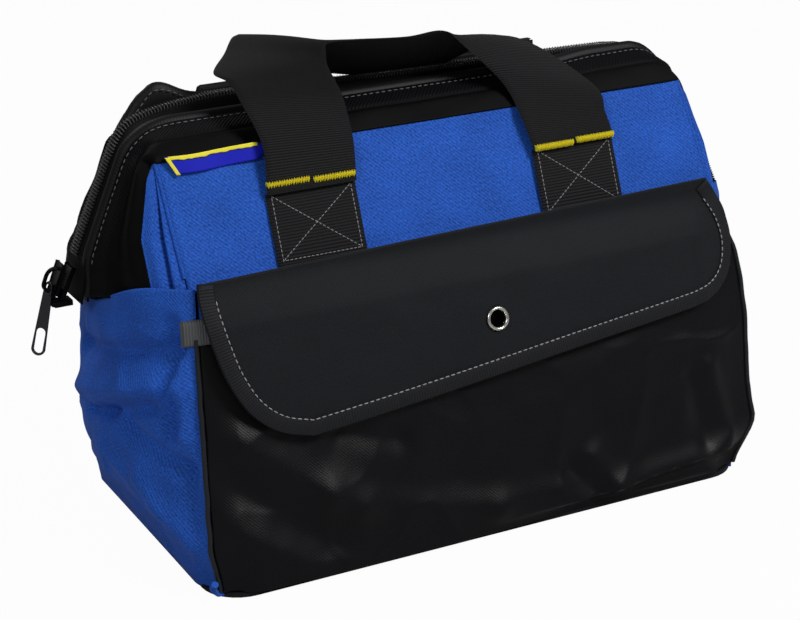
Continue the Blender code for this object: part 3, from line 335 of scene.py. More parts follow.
# Ends. Soft blue polyester, wider than the space between the corner seams, so it swells out below the
# zip's feet and falls into folds. Its upper edge stands up on both sides of the zip.
# END_REACH holds heights, and how far out the ends stand at each.
END_REACH = (
    (0.0, 0.163), (0.012, 0.169), (0.027, 0.1755), (0.045, 0.185), (0.066, 0.189),
    (0.0985, 0.189), (0.12, 0.1868), (0.138, 0.1868), (0.15, 0.188), (0.176, 0.188),
)
END_FOLDS = {
    -1: (
        ((12, 109), (-66, 127), -6.25, 5.5),
        ((10, 88), (-72, 110), 4.75, 6.5),
        ((-23, 84), (-55, 96), -5.5, 4.6),
        ((-6, 80), (-24, 84), -4.5, 2.8),
        ((-37, 82), (-76, 66), -5.75, 5.0),
        ((-76, 66), (-86, 42), -4.5, 5.0),
        ((-50, 56), (-84, 28), 4.25, 6.5),
        ((-20, 62), (-60, 36), 3.25, 8.0),
        ((-66, 146), (-76, 84), 5.0, 4.2),
        ((-60, 140), (-66, 84), -5.25, 3.6),
        ((30, 112), (10, 60), 1.25, 10),
        ((56, 100), (40, 40), -2.5, 9),
    ),
    1: (
        ((-30, 120), (60, 90), -4.0, 8),
        ((-40, 90), (50, 58), 3.25, 8),
        ((-70, 70), (-30, 30), -3.0, 8),
        ((40, 60), (76, 30), -2.75, 7),
        ((-76, 120), (-82, 70), 2.5, 5),
        ((10, 40), (50, 20), 2.0, 7),
    ),
}
ENDS = ((-1, "left"), (1, "right"))


def pucker(point, fineness, depth):
    """Thin creases where slack cloth has buckled: raised along a net of lines, flat between them."""
    turned = point * fineness + Vector((0.7, 4.2, 2.6))
    return depth * max(1 - abs(noise.noise(turned)) * 5, 0) ** 1.5


def right_bulge(height):
    """How far the full pocket pushes the right front corner out."""
    fullness = 0.0085 + 0.0062 * ease((height - 0.04) / 0.06)
    return fullness * ease(height / 0.03) * ease((0.163 - height) / 0.045)


def corner_x(end, side, height):
    return half_length(height) + (right_bulge(height) if end > 0 and side < 0 else 0)


def end_reach(height):
    for (low, near), (high, far) in zip(END_REACH, END_REACH[1:]):
        if height <= high:
            return mix(near, far, ease((height - low) / (high - low)))
    return END_REACH[-1][1]


def end_top(y):
    """The upper edge: low under the zip's foot, and rising to the corners on both sides of it."""
    return mix(0.1405, 0.157, ease((-y - 0.004) / 0.05) if y < 0 else ease((y - 0.018) / 0.04))


def end_place(end):
    def place(u, v):
        across = (1 - 2 * u) * -end
        side = -1 if across < 0 else 1
        height = WALL_FOOT
        # The seam's depth and the upper edge's height follow from each other, so both are found in turns.
        for _ in range(3):
            depth = corner_depth(side, height) - 0.0006
            height = mix(WALL_FOOT, end_top(across * depth), v)
        y = across * depth
        seam = corner_x(end, side, height) + 0.0004
        full = 1 - abs(across) ** (2.6 if across < 0 else 1.6)
        x = seam + (end_reach(height) - seam) * full
        free = min(1, (1 - abs(across)) * 9) * min(1, v * 12)
        point = Vector((end * x, y, height))
        lift = fold_lift(y, height, END_FOLDS[end]) + rumple(point, 0.0022, 0.0004)
        lift += pucker(point, 30, 0.0011)
        x += free * lift * min(1, (1 - v) * 8)
        curl = ease((v - 0.93) / 0.07) * (1 - ease((abs(y) - 0.02) / 0.02))
        return drawn_to_base(Vector((end * (x - 0.0022 * curl), y, height)), height)
    return place


for end, name in ENDS:
    shape = skin((150, 110), (0.23, 0.17), end_place(end))
    set_up(shape, f"{name} end", blue_cloth, "bag", [f"{name}_gusset"], 0.0012)


# Corner piping. A thin cord in a strip of shiny black cloth is sewn into each corner seam, from the base
# up to the fold line. A tag of the blue cloth shows at the foot of the left front one.
piping_cloth = Finish("black piping", "black_cloth", (0.01, 0.011, 0.013), 0.42, shine=0.3)


def rope(path, radius, sides):
    """A round cord along a path of places and outward directions."""
    last = len(path) - 1
    run = sum((path[n + 1][0] - path[n][0]).length for n in range(last))

    def place(u, v):
        n = round(v * last)
        centre, out = path[n]
        along = (path[min(n + 1, last)][0] - path[max(n - 1, 0)][0]).normalized()
        side = along.cross(out).normalized()
        turn = 2 * pi * u
        return centre + radius * (out * cos(turn) + side * sin(turn))

    return skin((sides, last), (2 * pi * radius, run), place, welded=True)


HALVES = ((-1, "front"), (1, "back"))
for side, depth_name in HALVES:
    for end, end_name in ENDS:
        path = []
        top = 0.133 if side < 0 and end < 0 else 0.1575
        for n in range(41):
            height = mix(0.0035, top, n / 40)
            x = end * (corner_x(end, side, height) + 0.0012)
            y = side * (corner_depth(side, height) - 0.0004)
            wander = 0.0006 * noise.noise(Vector((n * 0.35, end * 2.0, side * 3.0)))
            path.append((drawn_to_base(Vector((x + wander, y, height)), height), Vector((end, 0, 0))))
        name = f"{depth_name}_{end_name}_lower_piping"
        set_up(rope(path, 0.0013, 12), f"{depth_name} {end_name} piping", piping_cloth, "bag", [name])
curl = []
for n in range(9):
    place = Vector((-0.1585 - 0.004 * sin(n * 0.26), -0.0955 + 0.003 * cos(n * 0.26), 0.0022 + 0.0011 * n))
    curl.append((place, Vector((-1, 0, 0))))
set_up(rope(curl, 0.0019, 10), "piping tag", blue_cloth, "bag")


# Front pocket. One sheet of thin black nylon over the whole lower front, sewn in at the corners and the
# base, with a ribbed grey tape folded over its upper edge. It sags, and on the right it hangs over the base.
pocket_cloth = woven(
    "black pocket nylon", "black_cloth", (0.002, 0.0023, 0.0031), 0.42, 0.0008, 0.00006, 0.35,
    shine=0.17, sheen=0.01, fuzz=0.4,
)
POCKET_TOP = 0.1425
POCKET_FOLDS = (
    ((-155, 91), (-97, 47), 3.2, 10),
    ((-97, 47), (-79, 36), 3.0, 10),
    ((-79, 36), (0, 18), 2.6, 10),
    ((0, 18), (50, 20), 2.0, 9),
    ((-159, 69), (-98, 20), -3.0, 9),
    ((-155, 41), (-104, 6), 2.5, 8),
    ((-85, 75), (-55, 66), -3.0, 8),
    ((45, 28), (60, 12), -3.0, 6),
    ((60, 32), (76, 12), 2.2, 7),
    ((128, 62), (134, 24), -2.2, 6),
    ((142, 66), (150, 26), 2.0, 6),
    ((-40, 62), (40, 44), 1.4, 16),
    ((70, 70), (120, 50), 1.6, 14),
    ((-20, 38), (60, 46), -1.2, 12),
)


def pocket_depth(x, height):
    """The outer face of the pocket before its folds."""
    reach = half_length(height) + (right_bulge(height) if x > 0 else 0)
    full = 1 - min(abs(x) / reach, 1) ** 6
    return corner_depth(-1, height) + (0.004 + 0.002 * sin(pi * height / POCKET_TOP)) * full


def pocket_place(u, v):
    """A place on the pocket. On the right its foot hangs over the base, with a crease above the overhang."""
    height = mix(0.003, POCKET_TOP, v)
    left = half_length(height) - 0.0003
    x = mix(-left, left + right_bulge(height), u)
    free = min(1, min(u, 1 - u) * 22)
    point = Vector((x, -pocket_depth(x, height), height))
    under_flap = ease((0.112 - height) / 0.03)
    lift = fold_lift(x, height, POCKET_FOLDS) * min(1, height / 0.012) + rumple(point, 0.0016, 0.0003)
    lift += pucker(point, 19, 0.0012) * min(1, height / 0.02)
    point.y -= lift * free * under_flap
    crease = mix(0.009, 0.017, ease((x - 0.03) / 0.12))
    below = max(1 - height / crease, 0)
    point.y += 0.0045 * sin(pi * min(height / crease, 1)) * ease((x + 0.02) / 0.08) * free
    fullness = 0.0042 * ease((x - 0.01) / 0.07)
    point.y -= fullness * exp(-(max(height - crease, 0) / 0.009) ** 2) * (1 - below ** 0.5) * free
    return drawn_to_base(point, height)


pocket = skin((230, 120), (0.33, 0.15), pocket_place)
set_up(pocket, "pocket sheet", pocket_cloth, "bag", ["front_pocket"], 0.0012)


def ribbed(name, slot, color, roughness, pitch, relief, contrast, along=0, **gloss):
    """Tape or webbing with ribs across its length, or with along=1 across its width."""
    made = Finish(name, slot, color, roughness, **gloss)
    place, *ways = made.weave_map()
    rib = ways[along].wave(pitch)
    thread = ways[1 - along].wave(pitch * 0.55)
    height = rib * 0.75 + thread * 0.2 + made.grain(place, 2200) * 0.3
    made.shade(height * 0.75, 1 - contrast, 1 + contrast)
    made.relief(height, relief)
    return made


grey_tape = ribbed("grey ribbed tape", "grey_tape", (0.075, 0.078, 0.085), 0.6, 0.0013, 0.00022, 0.35)


def tape_place(u, v):
    height = mix(POCKET_TOP - 0.012, POCKET_TOP + 0.0004, v)
    reach = half_length(height)
    x = mix(-reach - 0.008, reach + 0.0006, u)
    past = max(-x - reach, 0)
    proud = 0.0014 - 0.001 * ease((v - 0.85) / 0.15)
    depth = pocket_depth(max(x, -reach) * 0.995, height) + proud - past * 0.7
    return Vector((x, -depth, height - past * 0.2))


shape = skin((160, 10), (0.31, 0.014), tape_place)
set_up(shape, "pocket tape", grey_tape, "bag", ["pocket_binding"], 0.0011)


# Mouth frame. Two round steel hoops, each bent to the shape of the mouth with a flat eye at both feet, turn
# on a rivet at each end. A short webbing tab joins the rivet to the end of the bag.
steel = Finish("dark steel", "steel", (0.06, 0.062, 0.066), 0.4, 1.0)
webbing = ribbed(
    "black webbing", "black_webbing", (0.0075, 0.0077, 0.0087), 0.66, 0.00145, 0.0003, 0.55, along=1,
    shine=0.14, sheen=0.03,
)


def tab_corner(x, y, z):
    return Vector((end * (0.1871 if x * end > 0 else 0.1859), 0.0034 * y, 0.1672 if z > 0 else 0.1378))


for end, name in ENDS:
    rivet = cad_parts[f"{name}_frame_pin"]
    rivet.data.materials.clear()
    rivet.data.materials.append(steel.material)
    shape = bmesh.new()
    block(shape, tab_corner)
    set_up(shape, f"{name} rivet tab", webbing, "bag", [f"{name}_end_tab"])


# Hem sleeves. The black cloth of each half is folded round its hoop and stitched down beside the zip, which
# makes a smooth round edge. The line of the zip goes up the left end, over the top and down the right end.
ZIP_TOP = 0.2315
ZIP_CORNER_RADIUS = 0.025
LEG_FOOT_X = 0.196
LEG_FOOT_HEIGHT = 0.158
LEG_LEAN = 0.03216
LEG_RISE = 0.0735
LEG_SIN = LEG_LEAN / hypot(LEG_LEAN, LEG_RISE)
LEG_COS = LEG_RISE / hypot(LEG_LEAN, LEG_RISE)
LEG_TURN = atan2(LEG_COS, LEG_SIN)
FEET_IN = 0.0065
RIGHT_LEG_IN = 0.0088
RIGHT_FOOT_IN = 0.0032
BACK_LEFT_LEG_IN = 0.0058


def leg_point(end, rise, y, proud):
    """A place beside the zip's leg: up along it, across it, and proud of it."""
    x = LEG_FOOT_X - rise * LEG_SIN + proud * LEG_COS
    return Vector((end * x, y, LEG_FOOT_HEIGHT + rise * LEG_COS + proud * LEG_SIN))


def settled(place):
    """Where the slack mouth hangs: its feet, its right leg and the back's left leg stand further in."""
    inward = FEET_IN * ease((0.168 - place.z) / 0.024)
    if place.x > 0.1:
        inward += RIGHT_LEG_IN * ease((place.x - 0.12) / 0.025) * ease((place.z - 0.15) / 0.018)
        inward += RIGHT_FOOT_IN * ease((place.z - 0.152) / 0.014) * ease((0.2 - place.z) / 0.014)
    if place.x < -0.1 and place.y > 0.005:
        inward += BACK_LEFT_LEG_IN * ease((-place.x - 0.125) / 0.03) * ease((place.z - 0.16) / 0.022)
    return place - Vector((copysign(inward, place.x), 0, 0))


def zip_line(foot, proud, y, step):
    """Places along the zip's line from the left foot to the right, with the outward direction at each."""
    slope = LEG_LEAN / LEG_RISE
    corner = LEG_FOOT_X - (ZIP_TOP - LEG_FOOT_HEIGHT) * slope - ZIP_CORNER_RADIUS * tan(LEG_TURN / 2)
    radius = ZIP_CORNER_RADIUS + proud
    centre = Vector((-corner, y, ZIP_TOP - ZIP_CORNER_RADIUS))
    out = Vector((-LEG_COS, 0, LEG_SIN))
    start = leg_point(-1, foot, y, proud)
    bend = centre + out * radius
    count = max(round((bend - start).length / step), 1)
    half = [(start.lerp(bend, n / count), out) for n in range(count)]
    count = max(round(radius * LEG_TURN / step), 8)
    for n in range(count):
        turn = LEG_TURN * (1 - n / count)
        out = Vector((-sin(turn), 0, cos(turn)))
        half.append((centre + out * radius, out))
    count = max(round(corner / step), 1)
    for n in range(count + 1):
        half.append((Vector((-corner * (1 - n / count), y, ZIP_TOP + proud)), Vector((0, 0, 1))))
    flip = Vector((-1, 1, 1))
    mirrored = [(place * flip, out * flip) for place, out in reversed(half[:-1])]
    return [(settled(place), out) for place, out in half + mirrored]


hem_cloth = Finish("charcoal hem", "black_cloth", (0.0036, 0.0038, 0.0046), 0.5, shine=0.16, sheen=0.01)
place, _, width = hem_cloth.weave_map()
hem_cloth.relief(hem_cloth.grain(place, 900) * 0.5 + width.wave(0.0016) * 0.5, 0.00008)


def hem_lift(side, x):
    """How far the hem stands above its hoop along the top: slack cloth, fullest at the back's left corner."""
    if side < 0:
        left = 0.003 * ease((x + 0.16) / 0.022)
        right = 0.003 * ease((x - 0.075) / 0.035)
        return (left + right) * (1 - ease((x - 0.134) / 0.02))
    narrow = 0.0095 if x < -0.139 else 0.015
    tall = 0.0105 * exp(-((x + 0.139) / narrow) ** 2)
    return tall + 0.0055 * ease((x + 0.156) / 0.03) * (1 - ease((x + 0.095) / 0.04))


PIVOT_HEIGHT = 0.163
HOOP_INSET = 0.0062
HOOP_Y = 0.0126
HEM_FOOT = -0.0125
SLEEVE_RADIUS = 0.0042
for side, name in HALVES:
    body = f"{name}_mouth"
    path = zip_line(HEM_FOOT, -HOOP_INSET, side * HOOP_Y, 0.003)
    last = len(path) - 1

    def hem_place(u, v):
        centre, out = path[round(v * last)]
        rise = hem_lift(side, centre.x) / 2
        turn = 2 * pi * u
        reach = rise + (SLEEVE_RADIUS + rise) * cos(turn)
        return centre + out * reach - Vector((0, SLEEVE_RADIUS * sin(turn), 0))

    shape = skin((18, last), (0.026, 0.45), hem_place, welded=True)
    set_up(shape, f"{name} hem", hem_cloth, body, [f"{name}_sleeve"])
    hoop = rope(zip_line(0.002, -HOOP_INSET, side * HOOP_Y, 0.004), 0.0025, 10)
    for end, _ in ENDS:
        eye = Vector((end * (0.184 if side < 0 else 0.182), 0, PIVOT_HEIGHT))
        turned = Matrix.Translation(eye) @ Matrix.Rotation(pi / 2, 4, "Y")
        bmesh.ops.create_cone(hoop, segments=20, radius1=0.0042, radius2=0.0042, depth=0.0016, cap_ends=True,
                              matrix=turned)

        def lug_corner(x, y, z):
            across, rise = (0.003, 0) if y < 0 else (0.0128, 0.0012)
            return Vector((eye.x + 0.0008 * x, side * across, PIVOT_HEIGHT + (0.0024 * z + rise)))

        block(hoop, lug_corner)
    bmesh.ops.recalc_face_normals(hoop, faces=hoop.faces)
    set_up(hoop, f"{name} steel hoop", steel, body, [f"{name}_hoop"])


# Zip. A number 8 nylon coil on black tape: two rows of small slanted loops, each sewn to its own tape,
# which is stitched along the hem. The two rows lie side by side where the zip is closed.
tape_weave = ribbed(
    "black zip tape", "black_webbing", (0.0022, 0.0022, 0.0026), 0.65, 0.0011, 0.00012, 0.3, along=1,
    shine=0.08,
)
COIL_PITCH = 0.00175
coil_nylon = Finish("black coil nylon", "black_coil", (0.062, 0.063, 0.066), 0.2, shine=1.0)
pattern = bmesh.new()
bmesh.ops.create_uvsphere(pattern, u_segments=6, v_segments=5, radius=1)
oval = as_mesh(pattern, "oval")


def ovals(spots):
    """A small oval at each spot: its place and its three half axes, with the last along its length."""
    shape = bmesh.new()
    for centre, side, face, along in spots:
        placing = Matrix((side, face, along)).transposed().to_4x4()
        placing.translation = centre
        if placing.determinant() < 0:
            placing = placing @ Matrix.Diagonal((-1, 1, 1, 1))
        one = oval.copy()
        one.transform(placing)
        shape.from_mesh(one)
        bpy.data.meshes.remove(one)
    return shape


def smooth_run(points, steps):
    """A smooth run through control values, which are lists of vectors and numbers of one form."""
    made = []
    last = len(points) - 1
    for n in range(last):
        around = [points[max(n - 1, 0)], points[n], points[n + 1], points[min(n + 2, last)]]
        for step in range(steps):
            t = step / steps
            weights = (
                (-t + 2 * t ** 2 - t ** 3) / 2,
                (2 - 5 * t ** 2 + 3 * t ** 3) / 2,
                (t + 4 * t ** 2 - 3 * t ** 3) / 2,
                (-t ** 2 + t ** 3) / 2,
            )
            mixed = [[weight * part for part in values] for weight, values in zip(weights, around)]
            made.append([a + b + c + d for a, b, c, d in zip(*mixed)])
    made.append(list(points[-1]))
    return made


def drawn_run(points, steps):
    """A smooth run through points of a flat outline, which are given in millimetres."""
    return smooth_run([[x / 1000, z / 1000] for x, z in points], steps)


def even_line(points, step):
    """The same flat line, with its points spaced evenly."""
    total = sum(hypot(b[0] - a[0], b[1] - a[1]) for a, b in zip(points, points[1:]))
    count = round(total / step)
    made = [points[0]]
    travelled = 0.0
    for a, b in zip(points, points[1:]):
        reach = hypot(b[0] - a[0], b[1] - a[1])
        while len(made) < count and len(made) * total / count <= travelled + reach:
            share = (len(made) * total / count - travelled) / reach
            made.append((mix(a[0], b[0], share), mix(a[1], b[1], share)))
        travelled += reach
    made.append(points[-1])
    return made, total


ZIP_COURSE = (
    (-191.7, 162.7), (-182.0, 184.0), (-174.6, 199.8), (-168.2, 213.4), (-163.0, 222.4), (-157.2, 227.8),
    (-149.0, 231.0), (-139.2, 233.1), (-125.5, 234.9), (-105.0, 236.2), (-70.0, 235.4), (-34.5, 234.1),
    (0.0, 233.2), (30.0, 232.9), (60.0, 232.8), (100.0, 232.2), (133.0, 231.2), (146.0, 229.6),
    (156.0, 225.8), (163.0, 219.4), (168.2, 211.4), (174.6, 199.8), (182.0, 184.0), (191.7, 162.7),
)


def coil_line(proud, step):
    """Places along the closed zip from the left foot to the right, with the outward direction at each."""
    spots, _ = even_line(drawn_run(ZIP_COURSE, 10), step)
    line = []
    for n, (x, height) in enumerate(spots):
        before = spots[max(n - 1, 0)]
        after = spots[min(n + 1, len(spots) - 1)]
        out = Vector((before[1] - after[1], 0, after[0] - before[0])).normalized()
        line.append((settled(Vector((x, 0, height))) + out * proud, out))
    return line


for side, name in HALVES:
    path = coil_line(-0.001, 0.003)
    last = len(path) - 1

    def tape_run(u, v):
        centre, out = path[round(v * last)]
        across = mix(0.0004, 0.01, u if side < 0 else 1 - u)
        away = ease((across - 0.0038) / 0.0062)
        hem_side = ZIP_TOP - 0.0042 + hem_lift(side, centre.x)
        drop = min(max(centre.z - hem_side, 0), 0.006) * ease((0.152 - abs(centre.x)) / 0.01) + 0.0006
        if side > 0 and centre.x < 0:
            drop += 0.005 * ease((-centre.x - 0.145) / 0.02)
        return centre + Vector((0, side * across, 0)) - out * drop * away

    shape = skin((8, last), (0.008, 0.46), tape_run)
    bmesh.ops.reverse_faces(shape, faces=shape.faces)
    set_up(shape, f"{name} zip strip", tape_weave, f"{name}_mouth", [f"{name}_zip_tape"], 0.0006)

    line = coil_line(0.0002, COIL_PITCH)
    spots = []
    way = Vector((0, side, 0))
    for n in range(1, len(line) - 1):
        centre, out = line[n]
        along = (line[n + 1][0] - line[n - 1][0]).normalized()
        lean = (way + along * 0.32 * side).normalized()
        across = out.cross(lean)
        spots.append((centre + way * 0.0024, across * 0.00046, out * 0.00165, lean * 0.00205))
        spots.append((centre + way * 0.0008 + out * 0.0006, along * 0.00048, out * 0.0011, way * 0.00075))
    set_up(ovals(spots), f"{name} zip teeth", coil_nylon, f"{name}_mouth", [f"{name}_zip_coil"], sharp=60)


def foot_strip_corner(x, y, z):
    rise = 0.0085 if z > 0 else -0.017
    return settled(leg_point(end, rise, 0.0148 * y, -0.0026 if x * end > 0 else -0.0036))


for end, name in ENDS:
    out = Vector((end * LEG_COS, 0, LEG_SIN))
    along = Vector((-end * LEG_SIN, 0, LEG_COS))
    spots = []
    for side, _ in HALVES:
        lean = (Vector((0, side, 0)) + along * 0.3).normalized()
        for n in range(13):
            centre = leg_point(end, -0.0215 + 0.0015 * n, side * 0.0021, 0)
            spots.append((centre, along * 0.0006, out * 0.0012, lean * 0.0016))
    tail = ovals(spots)
    stop = Matrix.Translation((end * 0.1995, 0, 0.1392)) @ Matrix.Diagonal((0.0095, 0.008, 0.0028, 1))
    bmesh.ops.create_cube(tail, size=1, matrix=stop)
    block(tail, foot_strip_corner)
    bmesh.ops.recalc_face_normals(tail, faces=tail.faces)
    set_up(tail, f"{name} zip foot", tape_weave, "bag", [f"{name}_zip_tail"], sharp=50)


# Mouth panels. A stiffened sheet of the blue polyester makes the sloping front and back of the mouth, with
# a blue strip folded round each corner and a thin piped seam between them.
PANEL_TOP = (0.0362, 0.2158)
PANEL_FOOT = 0.1535
PANEL_WAVES = {
    -1: (
        ((-120, 200), (-60, 168), 0.9, 16),
        ((40, 205), (60, 165), -0.8, 14),
        ((110, 205), (140, 168), 1.0, 12),
        ((132, 210), (118, 172), -0.9, 7),
    ),
    1: (((-90, 205), (-70, 165), 1.0, 16), ((60, 205), (100, 168), -1.0, 14)),
}


def panel_depth(height):
    return mix(0.058, PANEL_TOP[0], (height - 0.159) / (PANEL_TOP[1] - 0.159))


def panel_reach(end, height, side):
    """How far out the panel's side edge lies: it leans a little on both sides."""
    share = (height - PANEL_FOOT) / (PANEL_TOP[1] - PANEL_FOOT)
    if end < 0:
        return mix(0.152, 0.1562 if side < 0 else 0.15, share)
    return mix(0.1612, 0.1522, share)


def panel_place(side):
    def place(u, v):
        height = mix(PANEL_FOOT, PANEL_TOP[1], v)
        x = mix(-panel_reach(-1, height, side), panel_reach(1, height, side), u if side < 0 else 1 - u)
        point = Vector((x, side * panel_depth(height), height))
        free = min(1, min(u, 1 - u) * 14) * min(1, (1 - v) * 9) * min(1, v * 6)
        point.y += side * free * (fold_lift(x, height, PANEL_WAVES[side]) + rumple(point, 0.0012, 0.0002))
        return point
    return place


# Each entry is a height, with the reach and the depth of the seam there.
STRIP_SEAM = (
    (0.14, 0.168, 0.053), (0.158, 0.1686, 0.05), (0.1655, 0.169, 0.048), (0.18, 0.1697, 0.044),
    (0.192, 0.1668, 0.042), (0.2084, 0.1625, 0.038), (0.2115, 0.1602, 0.036), (0.2138, 0.1574, 0.0325),
)


def strip_edge(end, side, height):
    """The seam between a blue corner strip and the black end, which widens downwards."""
    for low, high in zip(STRIP_SEAM, STRIP_SEAM[1:]):
        if height <= high[0] or high == STRIP_SEAM[-1]:
            share = (height - low[0]) / (high[0] - low[0])
            reach = mix(low[1], high[1], share)
            if end > 0:
                reach -= mix(0.001, 0.0056, ease((height - 0.158) / 0.035))
            elif side > 0:
                reach -= 0.0072 * ease((height - 0.165) / 0.03)
            return Vector((end * reach, side * mix(low[2], high[2], share), height))


STRIP_FOOT = 0.15
STRIP_TOP = STRIP_SEAM[-1][0]


def strip_point(end, side, share, v):
    """A place on a corner strip, from its piping (0) to the black end (1), with a pleat by the panel."""
    height = mix(STRIP_FOOT, STRIP_TOP - 0.0001, v)
    corner_height = mix(0.148, PANEL_TOP[1], v)
    depth = panel_depth(corner_height) - 0.001
    corner = Vector((end * (panel_reach(end, corner_height, side) + 0.0006), side * depth, corner_height))
    point = corner.lerp(strip_edge(end, side, height), share)
    out = Vector((end * 0.8, side * 0.6, 0.1)).normalized()
    slack = min(1, (1 - v) * 2.2)
    line = mix(0.44, 0.26, v)
    ridge = exp(-((share - line * 0.5) / (line * 0.34)) ** 2)
    valley = exp(-((share - line) / 0.055) ** 2)
    facet = exp(-((share - 0.62) / 0.22) ** 2)
    free = min(1, share * 9, (1 - share) * 7)
    lift = (0.0022 * ridge - 0.0046 * valley + 0.0018 * facet) * slack
    return point + out * free * (lift + rumple(point, 0.0006, 0.0002))


for side, name in HALVES:
    body = f"{name}_mouth"
    shape = skin((140, 36), (0.298, 0.062), panel_place(side))
    set_up(shape, f"{name} panel sheet", blue_cloth, body, [f"{name}_panel"], 0.0014)
    for end, end_name in ENDS:
        outward = end * side < 0

        def corner_strip(u, v):
            return strip_point(end, side, u if outward else 1 - u, v)

        place = f"{name} {end_name}"
        shape = skin((44, 40), (0.022, 0.06), corner_strip)
        set_up(shape, f"{place} corner strip", blue_cloth, body, [f"{name}_{end_name}_strip"], 0.001)
        path = []
        for n in range(21):
            height = mix(0.1605, PANEL_TOP[1] - 0.0005, n / 20)
            x = end * (panel_reach(end, height, side) + 0.0006)
            path.append((Vector((x, side * (panel_depth(height) - 0.0008), height)), Vector((end, 0, 0))))
        nodes = [f"{name}_{end_name}_upper_piping"]
        set_up(rope(path, 0.0011, 10), f"{place} panel piping", blue_cloth, body, nodes)


# Black ends and top bands. Black nylon runs beside the hem all the way round: up both ends, where it folds
# softly, and along the top. The first 12 mm beside the stitches are quilted in fine ribs.
QUILTED_WIDTH = 0.0125
BAND_EDGE = (0.0373, 0.216)
band_nylon = Finish(
    "black quilted nylon", "black_cloth", (0.0014, 0.0015, 0.002), 0.6, shine=0.07, sheen=0.01, fuzz=0.45,
)
place, length, width = band_nylon.weave_map()
slub = band_nylon.grain(place, 1000)
plain = length.wave(0.0009) * width.wave(0.0009) * 0.35 + slub * 0.5
ribs = (length + width * 0.8).wave(0.0021) * 0.9 + slub * 0.3
quilted = width < QUILTED_WIDTH
height = ribs * quilted * 1.6 + plain * (1 - quilted)
band_nylon.shade(height * 0.6 + quilted * 0.2, 0.65, 1.75)
band_nylon.relief(height, 0.00014)


def mouth_rows(side):
    """Pairs of places round the mouth: beside the hem, and at the seam with the strips and the panel."""
    line = zip_line(HEM_FOOT, -0.0038, side * 0.015, 0.003)
    last = len(line) - 1
    bend = next(n for n, (_, out) in enumerate(line) if out.x > 0.001 - LEG_COS)
    crown = next(n for n, (_, out) in enumerate(line) if out.z > 0.9999)
    crown_x = abs(line[crown][0].x)
    rows = []
    for n, (place, out) in enumerate(line):
        end = -1 if n * 2 < last else 1
        from_foot = min(n, last - n)
        reach = panel_reach(end, PANEL_TOP[1], side) + 0.0008
        high = Vector((end * reach, side * BAND_EDGE[0], BAND_EDGE[1]))
        if from_foot <= bend:
            edge = strip_edge(end, side, mix(STRIP_FOOT, STRIP_TOP, from_foot / bend))
        elif from_foot < crown:
            edge = strip_edge(end, side, STRIP_TOP).lerp(high, (from_foot - bend) / (crown - bend))
        else:
            edge = Vector((high.x * abs(place.x) / crown_x, high.y, high.z))
        rows.append((place + out * hem_lift(side, place.x) * 0.85, edge, out))
    return rows


hem_thread = Finish("dark grey thread", "black_cloth", (0.085, 0.085, 0.09), 0.6)


def sew(line, pitch, length, width):
    """Spots for stitches along a line of places and face directions."""
    spots = []
    travelled = 0.0
    due = pitch / 2
    for (here, face), (there, _) in zip(line, line[1:]):
        run = there - here
        reach = run.length
        while reach and due <= travelled + reach:
            along = run / reach
            side = along.cross(face).normalized()
            spot = here + run * ((due - travelled) / reach)
            spots.append((spot, side * width, face * width, along * length))
            due += pitch
        travelled += reach
    return spots


def mouth_face(side, out):
    """How upright the cloth stands at a place round the mouth, and which way it faces."""
    upright = ease((abs(out.x) - 0.15) / 0.5)
    return upright, (out + Vector((0, side * mix(0.9, 0.35, upright), 0))).normalized()


HEM_STITCH = (0.0036, 0.00125, 0.00034)
for side, name in HALVES:
    body = f"{name}_mouth"
    rows = mouth_rows(side)
    last = len(rows) - 1

    def mouth_cloth(n, share):
        near, edge, out = rows[n]
        upright, face = mouth_face(side, out)
        point = near.lerp(edge, share)
        folds = 0.0022 * sin(share * 9 + n * 0.03) * ease((share - 0.3) / 0.2) * upright
        groove = 0.0007 * exp(-((share - 0.5) / 0.045) ** 2) * (1 - upright)
        full = mix(0.0022, 0.001, upright)
        return point + face * (sin(pi * share) * (full + folds + rumple(point, 0.0016, 0.0003)) - groove)

    shape = skin((36, last), (1, last), lambda u, v: mouth_cloth(round(v * last), u if side < 0 else 1 - u))
    weave = shape.loops.layers.uv.active
    runs = [0.0]
    for (here, _, _), (there, _, _) in zip(rows, rows[1:]):
        runs.append(runs[-1] + (there - here).length)
    for face in shape.faces:
        for corner in face.loops:
            across, row = corner[weave].uv
            n = round(row)
            share = across if side < 0 else 1 - across
            corner[weave].uv = (runs[n], share * (rows[n][1] - rows[n][0]).length)
    nodes = [f"{name}_band", f"{name}_left_end", f"{name}_right_end"]
    set_up(shape, f"{name} mouth cloth", band_nylon, body, nodes, 0.001)

    seam = []
    for n in range(6, last - 5):
        near, edge, out = rows[n]
        face = mouth_face(side, out)[1]
        seam.append((mouth_cloth(n, 0.0034 / (edge - near).length) + face * 0.0002, face))
    spots = sew(seam, *HEM_STITCH)
    if side > 0:
        behind = [
            (Vector((x / 1000, 0.0082, ZIP_TOP - 0.0052 + hem_lift(1, x / 1000))), Vector((0, -0.9, 0.4)))
            for x in range(-156, -96, 2)
        ]
        spots += sew(behind, *HEM_STITCH)
    set_up(ovals(spots), f"{name} hem stitches", hem_thread, body)


# Handles. Black 50 mm webbing: its ends lie on the panel in a stitched box with a cross, closed by a yellow
# bar tack, and the loop between them leans over the zip. The back one hangs down behind the bag.
PATCH_X = 0.078
TACK_HEIGHT = 0.1935
LOOP_HEIGHT = 0.07
WEBBING = 0.0018
PATCH_PROUD = 0.0012
TACK_DEPTH = panel_depth(TACK_HEIGHT) + PATCH_PROUD + WEBBING * 1.5
